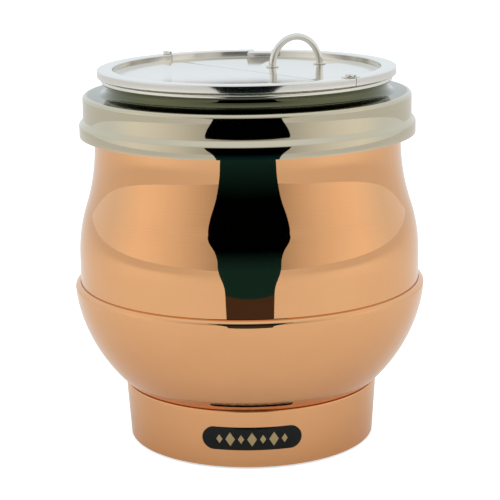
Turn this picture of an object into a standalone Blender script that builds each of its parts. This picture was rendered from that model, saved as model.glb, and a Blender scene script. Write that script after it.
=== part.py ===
"""Soup kettle: a copper-shelled wet-well kettle with a lift-out pot and a half-hinged lid.

Origin: centre of the footprint, on the surface it stands on.  +Z is up and the name badge faces -Y.
Every size is in metres.  The pieces keep small clearances, so that each one is a separate solid.
"""
import math

import bmesh
import bpy
from mathutils import Matrix, Vector

MM = 0.001

# ---- clearances and sheet gauges
GAP = 0.3 * MM                      # between pieces that touch
RUNNING_GAP = 0.1 * MM              # round a turning pin
SHELL_SHEET = 1.0 * MM
SKIRT_SHEET = 1.2 * MM
COLLAR_SHEET = 1.2 * MM
VESSEL_SHEET = 0.8 * MM
POT_SHEET = 0.8 * MM
LID_SHEET = 1.0 * MM

# ---- base skirt and feet
FOOT_PROUD = 2.0 * MM
SKIRT_BOTTOM_R = 123.4 * MM
SKIRT_TOP_R = 127.3 * MM
SKIRT_HEIGHT = 58.0 * MM
SKIRT_LIP = 1.4 * MM                # rolled in at the top edge
BASE_PLATE_HEIGHT = 14.0 * MM       # above the skirt's lower edge
BASE_PLATE_SHEET = 1.2 * MM
BASE_PLATE_RIM = 5.0 * MM           # turned up against the skirt
BASE_PLATE_CLEARANCE = 0.5 * MM
FOOT_R = 12.0 * MM
FOOT_CIRCLE_R = 98.0 * MM
FOOT_COUNT = 4
FOOT_SCREW_R = 2.0 * MM
FOOT_SCREW_HEAD_R = 4.4 * MM
FOOT_SCREW_HEAD = 2.5 * MM

# ---- copper body, heights above the skirt's top edge
BOWL_HEIGHT = 97.0 * MM             # bowl's widest place above the skirt's top edge
BEAD_R = 175.0 * MM
BEAD_HEIGHT = 5.0 * MM              # bowl's rounded rim above its widest place
BOWL_WALL_IN = 0.4 * MM             # wall's steer point inside the bead
BOWL_WALL_DROP = 11.0 * MM
BOWL_HIP_IN = 6.2 * MM              # hip's steer point inside the bead
BOWL_HIP_RISE = 40.0 * MM           # and above the skirt
BOWL_SEAT_IN = 0.5 * MM             # where the bowl meets the skirt's lip
BOWL_FLOOR_IN = 15.3 * MM           # floor's edge inside the skirt's top radius
BOWL_FLOOR_DROP = 9.5 * MM          # floor below the skirt's top edge
BOWL_FLOOR_DISH = 1.6 * MM
SHELL_LIP = 12.0 * MM               # shell's lower edge inside the bowl
BELLY_R = 169.6 * MM
BELLY_ABOVE_BEAD = 27.3 * MM
NECK_R = 151.4 * MM
NECK_ABOVE_BELLY = 112.0 * MM
NECK_ARC_R = 200.0 * MM
SHELL_ABOVE_NECK = 44.4 * MM

# ---- stainless collar
COLLAR_BAND_R = 165.8 * MM
COLLAR_BAND_HEIGHT = 11.6 * MM
COLLAR_WALL_R = 161.7 * MM
COLLAR_BEVEL = 4.4 * MM
COLLAR_WALL_HEIGHT = 24.0 * MM
COLLAR_EDGE_R = 3.7 * MM
COLLAR_NECK_R = 138.0 * MM
COLLAR_NECK_HEIGHT = 10.0 * MM
COLLAR_COVE_R = 8.5 * MM

# ---- pot, well and lid
POT_CLEARANCE = 1.0 * MM            # pot wall inside the collar's neck
POT_DEPTH = 197.0 * MM
POT_CORNER_R = 15.0 * MM
POT_BEAD_R = 3.1 * MM
POT_BEAD_REACH = 5.0 * MM           # bead's outer edge beyond the collar's neck
WELL_CLEARANCE = 4.9 * MM           # well wall inside the shell's neck
WELL_DEPTH = 215.5 * MM
WELL_CORNER_R = 15.0 * MM
WELL_FLANGE_PROUD = 1.2 * MM         # flange beyond the shell's top edge
LID_REACH = 3.7 * MM                # lid ring beyond the pot's bead
LID_RING_WIDTH = 15.2 * MM
LID_RING_HEIGHT = 7.5 * MM
LID_RECESS = 6.4 * MM
LID_HEM = 7.2 * MM
LID_CUT = 0.6 * MM                  # slit between the two halves
HINGE_TURN = math.radians(40.0)     # direction that the hinge line faces
HINGE_OFFSET = 8.6 * MM             # hinge line from the axis, that way
NOTCH_TURN = math.radians(83.0)
NOTCH_HALF = 10.0 * MM
NOTCH_DEPTH = 18.0 * MM
NOTCH_RIM = 3.0 * MM
KNUCKLE_R = 1.5 * MM
KNUCKLE_LENGTH = 5.6 * MM
KNUCKLE_SPACE = 0.4 * MM
HINGE_PIN_R = 0.8 * MM
LEAF_REACH = 6.5 * MM
LEAF_SHEET = 0.8 * MM

# ---- flap handle
HANDLE_CENTRE = (50.0 * MM, 48.0 * MM)
HANDLE_TURN = math.radians(22.0)
HANDLE_HALF_SPAN = 26.0 * MM
HANDLE_RISE = 29.4 * MM             # rod's centre above the lid's disc
HANDLE_ROD_R = 3.5 * MM
HANDLE_WASHER_R = 6.2 * MM
HANDLE_WASHER = 1.2 * MM
HANDLE_NUT_R = 6.4 * MM
HANDLE_NUT = 4.5 * MM

# ---- badge and what stands in the skirt's wall
BADGE_LENGTH = 97.0 * MM
BADGE_HEIGHT = 22.7 * MM
BADGE_ABOVE_EDGE = 17.9 * MM
BADGE_SHEET = 1.0 * MM
WALL_FITTINGS_HEIGHT = 29.0 * MM    # above the skirt's lower edge
KNOB_TURN = math.radians(55.0)
GLAND_TURN = math.radians(90.0)
LAMP_TURN = math.radians(125.0)
KNOB_R = 19.0 * MM
KNOB_LENGTH = 16.0 * MM
KNOB_BORE = 10.0 * MM
KNOB_GRIP = (32.0 * MM, 8.0 * MM, 6.0 * MM)
KNOB_STAND_OFF = 1.8 * MM           # knob's back off the dial plate
DIAL_R = 24.0 * MM
DIAL_SHEET = 0.8 * MM
SHAFT_R = 3.0 * MM
LAMP_R = 5.0 * MM
LENS_R = 6.5 * MM
LENS_RISE = 4.0 * MM
LAMP_LENGTH = 18.0 * MM
GLAND_R = 7.0 * MM
GLAND_BORE_R = 4.2 * MM
GLAND_HEX_WALL = 3.0 * MM             # hexagon corners beyond the thread
GLAND_HEX = 6.0 * MM
GLAND_REACH_IN = 12.0 * MM
GLAND_NUT = 5.0 * MM

# ---- heating and the centre stud
ELEMENT_PLATE_R = 90.0 * MM
ELEMENT_PLATE = 8.0 * MM
ELEMENT_RING_R = 70.0 * MM
ELEMENT_TUBE_R = 3.3 * MM
ELEMENT_LEG_R = 97.0 * MM
ELEMENT_LEG_DROP = 20.0 * MM
ELEMENT_LEG_BEND = 6.0 * MM
ELEMENT_END_SPREAD = math.radians(12.0)   # half of the gap in the element's ring
CLAMP_PLATE_R = 82.0 * MM
CLAMP_PLATE = 1.5 * MM
STUD_R = 4.0 * MM
STUD_NUT_R = 7.5 * MM
STUD_NUT = 6.5 * MM
STUD_END = 3.0 * MM                 # stud below its lowest nut
SPACER_R = 6.5 * MM
PAD_R = 78.0 * MM
PAD_THICK = 14.0 * MM
SHIELD_R = 116.0 * MM
SHIELD_SHEET = 1.0 * MM
SHIELD_RIM = 6.0 * MM
SHIELD_BELOW_CLAMP = 27.0 * MM
BAND_THICK = 15.0 * MM
BAND_HEIGHT = 74.0 * MM
BAND_ABOVE_WELL_FLOOR = 19.0 * MM
WIRE_HOLE_R = 9.0 * MM
WIRE_HOLE_OUT = 60.0 * MM           # wire hole from the axis
WIRE_R = 1.3 * MM
WIRE_LEAD = 5.0 * MM                # straight length at a wire's end

# ---- control pieces in the base
THERMOSTAT_SIZE = (30.0 * MM, 44.0 * MM, 22.0 * MM)
THERMOSTAT_FROM_WALL = 14.0 * MM
BRACKET_SHEET = 1.2 * MM
TERMINAL_SIZE = (42.0 * MM, 20.0 * MM, 14.0 * MM)
TERMINAL_PLACE = (-52.0 * MM, 32.0 * MM)
EARTH_PLACE = (-20.0 * MM, 68.0 * MM)
CUTOUT_R = 9.0 * MM
CUTOUT_HEIGHT = 8.0 * MM
CUTOUT_CLEARANCE = 13.0 * MM         # beside the element plate
CAPILLARY_R = 1.1 * MM
BULB_R = 3.0 * MM
BULB_LENGTH = 60.0 * MM
BULB_OUT = 116.0 * MM

# ---- facets
ROUND_STEPS = 40
SMALL_STEPS = 14
WALL_CUTTER = 12.0 * MM             # length of a cutter through one wall
ARC_POINTS = 2
LARGE = 1.0                         # reach of a cutter that is to pass right through
STAMP_MARGIN = 2.0 * MM             # a plate's blank beyond the stamp that cuts it
ROUTE_SPACING = 9.0 * MM            # between points of a bent tube or wire
LONG_ROUTE_SPACING = 10.0 * MM

# ---- heights above the surface, worked out from the sizes
SKIRT_BOTTOM_Z = FOOT_PROUD
SKIRT_TOP_Z = SKIRT_BOTTOM_Z + SKIRT_HEIGHT
BASE_PLATE_Z = SKIRT_BOTTOM_Z + BASE_PLATE_HEIGHT
WALL_FITTINGS_Z = SKIRT_BOTTOM_Z + WALL_FITTINGS_HEIGHT
BOWL_FLOOR_Z = SKIRT_TOP_Z - BOWL_FLOOR_DROP
BOWL_TOP_Z = SKIRT_TOP_Z + BOWL_HEIGHT
BEAD_TOP_Z = BOWL_TOP_Z + BEAD_HEIGHT
BELLY_Z = BEAD_TOP_Z + BELLY_ABOVE_BEAD
NECK_Z = BELLY_Z + NECK_ABOVE_BELLY
SHELL_TOP_Z = NECK_Z + SHELL_ABOVE_NECK
WELL_TOP_Z = SHELL_TOP_Z + 2.0 * GAP + VESSEL_SHEET
WELL_FLOOR_Z = WELL_TOP_Z - WELL_DEPTH
COLLAR_FLAT_Z = WELL_TOP_Z + GAP + COLLAR_SHEET
COLLAR_TOP_Z = COLLAR_FLAT_Z + COLLAR_NECK_HEIGHT
POT_BEAD_Z = COLLAR_TOP_Z + GAP + POT_BEAD_R
POT_RIM_Z = POT_BEAD_Z + POT_BEAD_R
POT_FLOOR_Z = COLLAR_TOP_Z - POT_DEPTH
LID_BOTTOM_Z = POT_RIM_Z + GAP
LID_TOP_Z = LID_BOTTOM_Z + LID_RING_HEIGHT
LID_DISC_Z = LID_TOP_Z - LID_RECESS
HINGE_Z = LID_TOP_Z + GAP + KNUCKLE_R

# ---- radii worked out from the sizes
POT_R = COLLAR_NECK_R - COLLAR_SHEET - POT_CLEARANCE
GLAND_HEX_R = GLAND_R + GLAND_HEX_WALL
CUTOUT_OUT = ELEMENT_PLATE_R + CUTOUT_CLEARANCE + CUTOUT_R
POT_BEAD_OUT_R = COLLAR_NECK_R + POT_BEAD_REACH
WELL_R = NECK_R - SHELL_SHEET - WELL_CLEARANCE
LID_R = POT_BEAD_OUT_R + LID_REACH
LID_INNER_R = LID_R - LID_RING_WIDTH

PLATE_TOP_Z = WELL_FLOOR_Z - GAP
TUBE_Z = PLATE_TOP_Z - ELEMENT_PLATE - GAP - ELEMENT_TUBE_R
CLAMP_TOP_Z = TUBE_Z - ELEMENT_TUBE_R - GAP
CLAMP_BOTTOM_Z = CLAMP_TOP_Z - CLAMP_PLATE
SHIELD_TOP_Z = CLAMP_BOTTOM_Z - SHIELD_BELOW_CLAMP
SHIELD_BOTTOM_Z = SHIELD_TOP_Z - SHIELD_SHEET
STUD_BOTTOM_Z = BASE_PLATE_Z - GAP - STUD_NUT - STUD_END

PART_COLLECTION = "soup_kettle"
CUTTER_COLLECTION = "cutters"

COPPER = ("polished_copper", (0.84, 0.47, 0.30), 0.08, 1.0)
STEEL = ("polished_stainless", (0.74, 0.72, 0.67), 0.08, 1.0)
PLAIN_STEEL = ("plain_steel", (0.60, 0.60, 0.60), 0.35, 1.0)
ALUMINIUM = ("aluminium", (0.74, 0.75, 0.76), 0.40, 1.0)
BLACK_ENAMEL = ("black_enamel", (0.015, 0.015, 0.015), 0.25, 0.0)
BLACK_PLASTIC = ("black_plastic", (0.02, 0.02, 0.022), 0.45, 0.0)
WHITE_PLASTIC = ("white_plastic", (0.80, 0.79, 0.75), 0.50, 0.0)
RUBBER = ("rubber", (0.03, 0.03, 0.03), 0.80, 0.0)
MINERAL_WOOL = ("mineral_wool", (0.72, 0.66, 0.45), 0.95, 0.0)
BRASS = ("brass", (0.75, 0.58, 0.28), 0.30, 1.0)
AMBER = ("amber_lens", (0.90, 0.35, 0.03), 0.15, 0.0)
BROWN_SLEEVE = ("brown_sleeve", (0.22, 0.09, 0.04), 0.55, 0.0)
BLUE_SLEEVE = ("blue_sleeve", (0.04, 0.12, 0.45), 0.55, 0.0)


# ------------------------------------------------------------------ helpers

def clear_scene():
    """Remove every object, so that the model starts from an empty scene."""
    for thing in list(bpy.data.objects):
        bpy.data.objects.remove(thing, do_unlink=True)


def collection(name):
    """Return the collection of this name, made and linked the first time."""
    found = bpy.data.collections.get(name)
    if found is None:
        found = bpy.data.collections.new(name)
        bpy.context.scene.collection.children.link(found)
    return found


def finish_material(finish):
    """Return the Principled material of a named finish."""
    name, colour, roughness, metallic = finish
    found = bpy.data.materials.get(name)
    if found is None:
        found = bpy.data.materials.new(name)
        found.use_nodes = True
        shader = found.node_tree.nodes["Principled BSDF"]
        shader.inputs["Base Color"].default_value = (*colour, 1.0)
        shader.inputs["Roughness"].default_value = roughness
        shader.inputs["Metallic"].default_value = metallic
    return found


def add_object(name, data, finish, folder=PART_COLLECTION):
    """Link a new object of this data and give it its finish."""
    made = bpy.data.objects.new(name, data)
    collection(folder).objects.link(made)
    if finish is not None:
        data.materials.append(finish_material(finish))
    return made


def as_cutter(made):
    """Show an object as a wire guide that never renders."""
    made.hide_render = True
    made.display_type = "WIRE"
    return made


def mesh_from_bmesh(name, shape):
    """Write a bmesh into a new mesh."""
    mesh = bpy.data.meshes.new(name)
    shape.to_mesh(mesh)
    shape.free()
    return mesh


def turned(name, profile, finish, closed=False, sheet=None, steps=ROUND_STEPS, at=None):
    """Turn a profile of (radius, height) points that runs down its outer side, round Z."""
    shape = bmesh.new()
    points = [shape.verts.new((radius, 0.0, height)) for radius, height in profile]
    for first, second in zip(points, points[1:]):
        shape.edges.new((first, second))
    if closed:
        shape.edges.new((points[-1], points[0]))
    made = add_object(name, mesh_from_bmesh(name, shape), finish)
    screw = made.modifiers.new("turn", "SCREW")
    screw.axis = "Z"
    screw.steps = steps
    screw.render_steps = steps
    screw.use_merge_vertices = True
    screw.merge_threshold = 0.00005
    screw.use_smooth_shade = True
    if sheet is not None:
        shell = made.modifiers.new("sheet", "SOLIDIFY")
        shell.thickness = sheet
        shell.offset = -1.0
        shell.use_even_offset = True
    if at is not None:
        made.matrix_world = at
    return made


def arc(centre, radius, start, end, points=ARC_POINTS):
    """Points of an arc in a profile, from one angle to another, both ends included."""
    found = []
    for index in range(points + 1):
        angle = start + (end - start) * index / points
        found.append((centre[0] + radius * math.cos(angle), centre[1] + radius * math.sin(angle)))
    return found


def bezier(p0, p1, p2, p3, points):
    """Points of a cubic curve in a profile, both ends included."""
    found = []
    for index in range(points + 1):
        t = index / points
        s = 1.0 - t
        weights = (s ** 3, 3.0 * s * s * t, 3.0 * s * t * t, t ** 3)
        corners = (p0, p1, p2, p3)
        found.append(tuple(sum(w * p[axis] for w, p in zip(weights, corners)) for axis in (0, 1)))
    return found


def disc(name, radius, bottom, top, finish, hole=None, steps=ROUND_STEPS, at=None):
    """A flat round piece, with a centre hole if one is given."""
    if hole is None:
        profile = [(0.0, top), (radius, top), (radius, bottom), (0.0, bottom)]
        return turned(name, profile, finish, steps=steps, at=at)
    profile = [(radius, top), (radius, bottom), (hole, bottom), (hole, top)]
    return turned(name, profile, finish, closed=True, steps=steps, at=at)


def box(name, size, finish, at, bevel=0.0, folder=PART_COLLECTION):
    """A block of this size about the middle of a placement."""
    shape = bmesh.new()
    bmesh.ops.create_cube(shape, size=1.0, matrix=Matrix.Diagonal((*size, 1.0)))
    made = add_object(name, mesh_from_bmesh(name, shape), finish, folder)
    made.matrix_world = at
    if bevel > 0.0:
        rounding = made.modifiers.new("edges", "BEVEL")
        rounding.width = bevel
        rounding.segments = 1
    return made


def cylinder(name, radius, length, finish, at, steps=SMALL_STEPS, folder=PART_COLLECTION):
    """A rod of this radius and length along a placement's Z, about its middle."""
    shape = bmesh.new()
    bmesh.ops.create_cone(shape, cap_ends=True, segments=steps, radius1=radius, radius2=radius,
                          depth=length)
    made = add_object(name, mesh_from_bmesh(name, shape), finish, folder)
    made.matrix_world = at
    return made


def combine(made, other, operation):
    """Join or cut a mesh object with another by an exact Boolean."""
    step = made.modifiers.new(operation.lower(), "BOOLEAN")
    step.operation = operation
    step.solver = "EXACT"
    step.object = other
    as_cutter(other)


def nut(name, radius, length, bore, finish, at):
    """A hexagon nut with a round bore, from a placement's origin down its Z."""
    middle = at @ Matrix.Translation((0.0, 0.0, -length / 2.0))
    made = cylinder(name, radius, length, finish, middle, steps=6)
    hole = cylinder(name + "_bore", bore, 2.0 * length, None, middle, folder=CUTTER_COLLECTION)
    combine(made, hole, "DIFFERENCE")
    return made


def outline_slab(name, outlines, bottom, top, finish, folder=PART_COLLECTION):
    """A flat slab between two heights from closed outlines; an inner outline is a hole."""
    curve = bpy.data.curves.new(name, "CURVE")
    curve.dimensions = "2D"
    curve.fill_mode = "BOTH"
    curve.extrude = (top - bottom) / 2.0
    for outline in outlines:
        spline = curve.splines.new("POLY")
        spline.points.add(len(outline) - 1)
        for point, (x, y) in zip(spline.points, outline):
            point.co = (x, y, 0.0, 1.0)
        spline.use_cyclic_u = True
    drawn = add_object(name + "_outline", curve, None, folder)
    drawn.location = (0.0, 0.0, (top + bottom) / 2.0)
    return mesh_of_curve(drawn, name, finish, folder)


def mesh_of_curve(drawn, name, finish, folder):
    """Replace a curve object by a welded mesh object of the same shape."""
    bpy.context.view_layer.update()
    graph = bpy.context.evaluated_depsgraph_get()
    mesh = bpy.data.meshes.new_from_object(drawn.evaluated_get(graph))
    shape = bmesh.new()
    shape.from_mesh(mesh)
    bmesh.ops.remove_doubles(shape, verts=shape.verts, dist=0.00001)
    bmesh.ops.recalc_face_normals(shape, faces=shape.faces)
    shape.to_mesh(mesh)
    shape.free()
    mesh.materials.clear()
    made = add_object(name, mesh, finish, folder)
    made.matrix_world = drawn.matrix_world
    bpy.data.objects.remove(drawn, do_unlink=True)
    return made


def smooth_route(points, spacing):
    """Points along a smooth curve through a route's own points."""
    route = [Vector(point) for point in points]
    ends = [2.0 * route[0] - route[1]] + route + [2.0 * route[-1] - route[-2]]
    found = []
    for before, start, end, after in zip(ends, ends[1:], ends[2:], ends[3:]):
        pieces = max(1, round((end - start).length / spacing))
        for index in range(pieces):
            t = index / pieces
            found.append(0.5 * (2.0 * start + (end - before) * t
                                + (2.0 * before - 5.0 * start + 4.0 * end - after) * t * t
                                + (3.0 * start - before - 3.0 * end + after) * t ** 3))
    return found + [route[-1]]


def tube(name, points, radius, finish, detail=2):
    """A round tube or wire along a list of points, with closed ends."""
    curve = bpy.data.curves.new(name, "CURVE")
    curve.dimensions = "3D"
    curve.bevel_depth = radius
    curve.bevel_resolution = detail
    curve.use_fill_caps = True
    spline = curve.splines.new("POLY")
    spline.points.add(len(points) - 1)
    for point, place in zip(spline.points, points):
        point.co = (*place, 1.0)
    return add_object(name, curve, finish)


def placement(x, y, z, turn=0.0):
    """A placement at a point, turned about Z."""
    return Matrix.Translation((x, y, z)) @ Matrix.Rotation(turn, 4, "Z")


def out_of_wall(turn, distance, z):
    """A placement whose Z points straight out of the body, at this distance from its axis."""
    return Matrix.Rotation(turn, 4, "Z") @ Matrix.Translation((distance, 0.0, z)) @ Matrix.Rotation(
        math.pi / 2.0, 4, "Y")


# ------------------------------------------------------------------ body outline

def skirt_radius(z):
    """Outer radius of the base skirt at a height."""
    rise = (z - SKIRT_BOTTOM_Z) / SKIRT_HEIGHT
    return SKIRT_BOTTOM_R + (SKIRT_TOP_R - SKIRT_BOTTOM_R) * rise


def belly_arc_radius():
    """Radius of the belly's arc that runs on smoothly into the neck's arc."""
    inset = BELLY_R - NECK_R
    return (NECK_ABOVE_BELLY ** 2 + inset ** 2) / (2.0 * inset) - NECK_ARC_R


def shell_radius(z):
    """Outer radius of the upper shell at a height above the bead."""
    belly_arc = belly_arc_radius()
    join = NECK_Z - NECK_ABOVE_BELLY * NECK_ARC_R / (NECK_ARC_R + belly_arc)
    if z >= join:
        return NECK_R + NECK_ARC_R - math.sqrt(NECK_ARC_R ** 2 - (z - NECK_Z) ** 2)
    return BELLY_R - belly_arc + math.sqrt(belly_arc ** 2 - (z - BELLY_Z) ** 2)


def upper_shell():
    """Neck and belly in one spun sheet, whose lower edge stands inside the bowl's rim."""
    count = 8
    heights = [SHELL_TOP_Z + (BELLY_Z - SHELL_TOP_Z) * index / count for index in range(count + 1)]
    profile = [(shell_radius(z), z) for z in heights]
    profile.append((BELLY_R, BEAD_TOP_Z - SHELL_LIP))
    turned("upper_shell", profile, COPPER, sheet=SHELL_SHEET)


def bowl_profile():
    """Outer side of the lower bowl, from its rounded rim down to the skirt's lip."""
    rim_r = BELLY_R + GAP
    points = 4
    profile = []
    for index in range(points):
        turn = math.pi / 2.0 * (1.0 - index / points)
        profile.append((rim_r + (BEAD_R - rim_r) * math.cos(turn), BOWL_TOP_Z + BEAD_HEIGHT * math.sin(turn)))
    return profile + bezier((BEAD_R, BOWL_TOP_Z), (BEAD_R - BOWL_WALL_IN, BOWL_TOP_Z - BOWL_WALL_DROP),
                            (BEAD_R - BOWL_HIP_IN, SKIRT_TOP_Z + BOWL_HIP_RISE),
                            (SKIRT_TOP_R - BOWL_SEAT_IN, SKIRT_TOP_Z + GAP), 8)


def lower_bowl():
    """Spun bowl whose rim closes round the shell; its floor takes the stud and the wires."""
    floor_r = SKIRT_TOP_R - BOWL_FLOOR_IN
    profile = bowl_profile()
    profile += [(floor_r, BOWL_FLOOR_Z), (floor_r - 2.0 * BOWL_FLOOR_DISH, BOWL_FLOOR_Z - BOWL_FLOOR_DISH),
                (STUD_R + GAP, BOWL_FLOOR_Z - BOWL_FLOOR_DISH)]
    made = turned("lower_bowl", profile, COPPER, sheet=SHELL_SHEET)
    hole = cylinder("wire_hole_in_bowl", WIRE_HOLE_R, 20.0 * MM, None,
                    placement(0.0, WIRE_HOLE_OUT, BOWL_FLOOR_Z), folder=CUTTER_COLLECTION)
    combine(made, hole, "DIFFERENCE")


def bowl_floor_top():
    """Upper face of the bowl's floor."""
    return BOWL_FLOOR_Z - BOWL_FLOOR_DISH + SHELL_SHEET


# ------------------------------------------------------------------ base

def base_skirt():
    """Turned skirt with a rolled lip, and holes for the shaft, the gland and the lamp."""
    lip = SKIRT_LIP
    profile = [(SKIRT_TOP_R - lip, SKIRT_TOP_Z - 0.85 * lip),
               (SKIRT_TOP_R - 0.35 * lip, SKIRT_TOP_Z - 0.45 * lip),
               (SKIRT_TOP_R, SKIRT_TOP_Z - 1.4 * lip), (SKIRT_BOTTOM_R, SKIRT_BOTTOM_Z)]
    made = turned("base_skirt", profile, COPPER, sheet=SKIRT_SHEET)
    for name, turn, radius in (("shaft_hole", KNOB_TURN, SHAFT_R + 1.5 * MM),
                               ("gland_hole", GLAND_TURN, GLAND_R + GAP),
                               ("lamp_hole", LAMP_TURN, LAMP_R + GAP)):
        place = out_of_wall(turn, skirt_radius(WALL_FITTINGS_Z), WALL_FITTINGS_Z)
        hole = cylinder(name, radius, WALL_CUTTER, None, place, folder=CUTTER_COLLECTION)
        combine(made, hole, "DIFFERENCE")


def curved_plate(name, stamp, centre_z, half_height, sheet, finish):
    """A plate that follows the skirt's outside, cut to the shape of a stamp that crosses it."""
    low = centre_z - half_height
    high = centre_z + half_height
    inner = GAP + skirt_radius(low)
    inner_top = GAP + skirt_radius(high)
    profile = [(inner_top + sheet, high), (inner + sheet, low), (inner, low), (inner_top, high)]
    made = turned(name, profile, finish, closed=True)
    combine(made, stamp, "INTERSECT")
    return made


def pill(length, height, points):
    """Closed outline of a bar with round ends."""
    radius = height / 2.0
    straight = length / 2.0 - radius
    right = arc((straight, 0.0), radius, -math.pi / 2.0, math.pi / 2.0, points)
    left = arc((-straight, 0.0), radius, math.pi / 2.0, 1.5 * math.pi, points)
    return right + left


def name_badge():
    """Blank black badge that follows the front of the skirt."""
    centre_z = SKIRT_BOTTOM_Z + BADGE_ABOVE_EDGE + BADGE_HEIGHT / 2.0
    radius = skirt_radius(centre_z)
    chord = 2.0 * radius * math.sin(BADGE_LENGTH / 2.0 / radius)
    stamp = outline_slab("badge_stamp", [pill(chord, BADGE_HEIGHT, 6)], 0.0, radius + 20.0 * MM, None,
                         CUTTER_COLLECTION)
    stamp.matrix_world = (Matrix.Translation((0.0, -radius / 2.0, centre_z))
                          @ Matrix.Rotation(math.pi / 2.0, 4, "X"))
    curved_plate("name_badge", stamp, centre_z, BADGE_HEIGHT / 2.0 + STAMP_MARGIN, BADGE_SHEET,
                 BLACK_ENAMEL)


def base_plate():
    """Pressed floor of the base, with holes for the stud and the foot screws."""
    radius = skirt_radius(BASE_PLATE_Z) - SKIRT_SHEET - BASE_PLATE_CLEARANCE
    profile = [(radius, BASE_PLATE_Z + BASE_PLATE_RIM), (radius, BASE_PLATE_Z), (STUD_R + GAP, BASE_PLATE_Z)]
    made = turned("base_plate", profile, PLAIN_STEEL, sheet=BASE_PLATE_SHEET)
    for index, (x, y) in enumerate(foot_places()):
        hole = cylinder(f"foot_hole_{index + 1}", FOOT_SCREW_R + GAP, 8.0 * MM, None,
                        placement(x, y, BASE_PLATE_Z), steps=12, folder=CUTTER_COLLECTION)
        combine(made, hole, "DIFFERENCE")


def foot_places():
    """Plan position of each foot."""
    places = []
    for index in range(FOOT_COUNT):
        turn = 2.0 * math.pi * index / FOOT_COUNT
        places.append((FOOT_CIRCLE_R * math.cos(turn), FOOT_CIRCLE_R * math.sin(turn)))
    return places


def feet():
    """Rubber feet, each held to the base plate by its own screw."""
    top = BASE_PLATE_Z - GAP
    seat = FOOT_SCREW_HEAD + 3.5 * MM
    for index, (x, y) in enumerate(foot_places()):
        hole = FOOT_SCREW_R + GAP
        bore = FOOT_SCREW_HEAD_R + 0.6 * MM
        profile = [(FOOT_R, top), (FOOT_R - 1.0 * MM, 0.0), (bore, 0.0), (bore, seat + GAP),
                   (hole, seat + GAP), (hole, top)]
        turned(f"foot_{index + 1}", profile, RUBBER, closed=True, steps=20, at=placement(x, y, 0.0))
        end = BASE_PLATE_Z + 8.0 * MM
        screw = [(0.0, end), (FOOT_SCREW_R, end), (FOOT_SCREW_R, seat), (FOOT_SCREW_HEAD_R, seat),
                 (FOOT_SCREW_HEAD_R, seat - FOOT_SCREW_HEAD), (0.0, seat - FOOT_SCREW_HEAD)]
        turned(f"foot_screw_{index + 1}", screw, PLAIN_STEEL, steps=12, at=placement(x, y, 0.0))


# ------------------------------------------------------------------ collar, well and pot

def collar():
    """Loose ring that covers the shell's top and carries the pot on its neck."""
    flat = COLLAR_FLAT_Z
    wall_low = flat - COLLAR_WALL_HEIGHT
    cove = (COLLAR_NECK_R + COLLAR_COVE_R, flat + COLLAR_COVE_R)
    edge = (COLLAR_WALL_R - COLLAR_EDGE_R, flat - COLLAR_EDGE_R)
    profile = [(COLLAR_NECK_R, COLLAR_TOP_Z)]
    profile += arc(cove, COLLAR_COVE_R, math.pi, 1.5 * math.pi)
    profile += arc(edge, COLLAR_EDGE_R, math.pi / 2.0, 0.0)
    profile += [(COLLAR_WALL_R, wall_low), (COLLAR_BAND_R, wall_low - COLLAR_BEVEL),
                (COLLAR_BAND_R, wall_low - COLLAR_BEVEL - COLLAR_BAND_HEIGHT)]
    turned("collar", profile, STEEL, sheet=COLLAR_SHEET)


def water_vessel():
    """Deep-drawn well that hangs by its flange on the shell's top edge."""
    flange_r = shell_radius(SHELL_TOP_Z) + WELL_FLANGE_PROUD
    corner = (WELL_R - WELL_CORNER_R, WELL_FLOOR_Z + WELL_CORNER_R)
    profile = [(flange_r, WELL_TOP_Z - VESSEL_SHEET), (WELL_R, WELL_TOP_Z - VESSEL_SHEET)]
    profile += arc(corner, WELL_CORNER_R, 0.0, -math.pi / 2.0, 3)
    profile += [(0.0, WELL_FLOOR_Z)]
    turned("water_vessel", profile, PLAIN_STEEL, sheet=VESSEL_SHEET)


def soup_pot():
    """Lift-out pot with a rolled rim that rests on the collar's neck."""
    bead_centre_out = (POT_BEAD_OUT_R - POT_BEAD_R, POT_BEAD_Z)
    inner_r = POT_R - POT_SHEET
    inner_corner_r = POT_CORNER_R - POT_SHEET
    corner = (POT_R - POT_CORNER_R, POT_FLOOR_Z + POT_CORNER_R)
    profile = [(0.0, POT_FLOOR_Z + POT_SHEET)]
    profile += arc(corner, inner_corner_r, -math.pi / 2.0, 0.0, 3)
    profile += [(inner_r, POT_BEAD_Z), (inner_r + 1.2 * MM, POT_RIM_Z - 0.5 * MM)]
    profile += arc(bead_centre_out, POT_BEAD_R, math.pi / 2.0, -math.pi / 2.0, 4)
    profile += [(POT_R + 0.4 * MM, POT_BEAD_Z - POT_BEAD_R), (POT_R, POT_BEAD_Z - POT_BEAD_R - 0.6 * MM)]
    profile += arc(corner, POT_CORNER_R, 0.0, -math.pi / 2.0, 3)
    profile += [(0.0, POT_FLOOR_Z)]
    turned("soup_pot", profile, STEEL)


# ------------------------------------------------------------------ lid

def ring_outline(radius, depth, half):
    """Closed plan outline of a circle that is stepped inwards across the ladle notch."""
    out = Vector((math.cos(NOTCH_TURN), math.sin(NOTCH_TURN)))
    across = Vector((-math.sin(NOTCH_TURN), math.cos(NOTCH_TURN)))
    reach = math.asin(half / radius)
    corner = radius * math.cos(reach)
    steps = ((corner, -half), (radius - depth, -half), (radius - depth, half), (corner, half))
    points = [out * along + across * side for along, side in steps]
    count = ROUND_STEPS - 2
    for index in range(1, count):
        turn = NOTCH_TURN + reach + (2.0 * math.pi - 2.0 * reach) * index / count
        points.append(Vector((radius * math.cos(turn), radius * math.sin(turn))))
    return points


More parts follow.
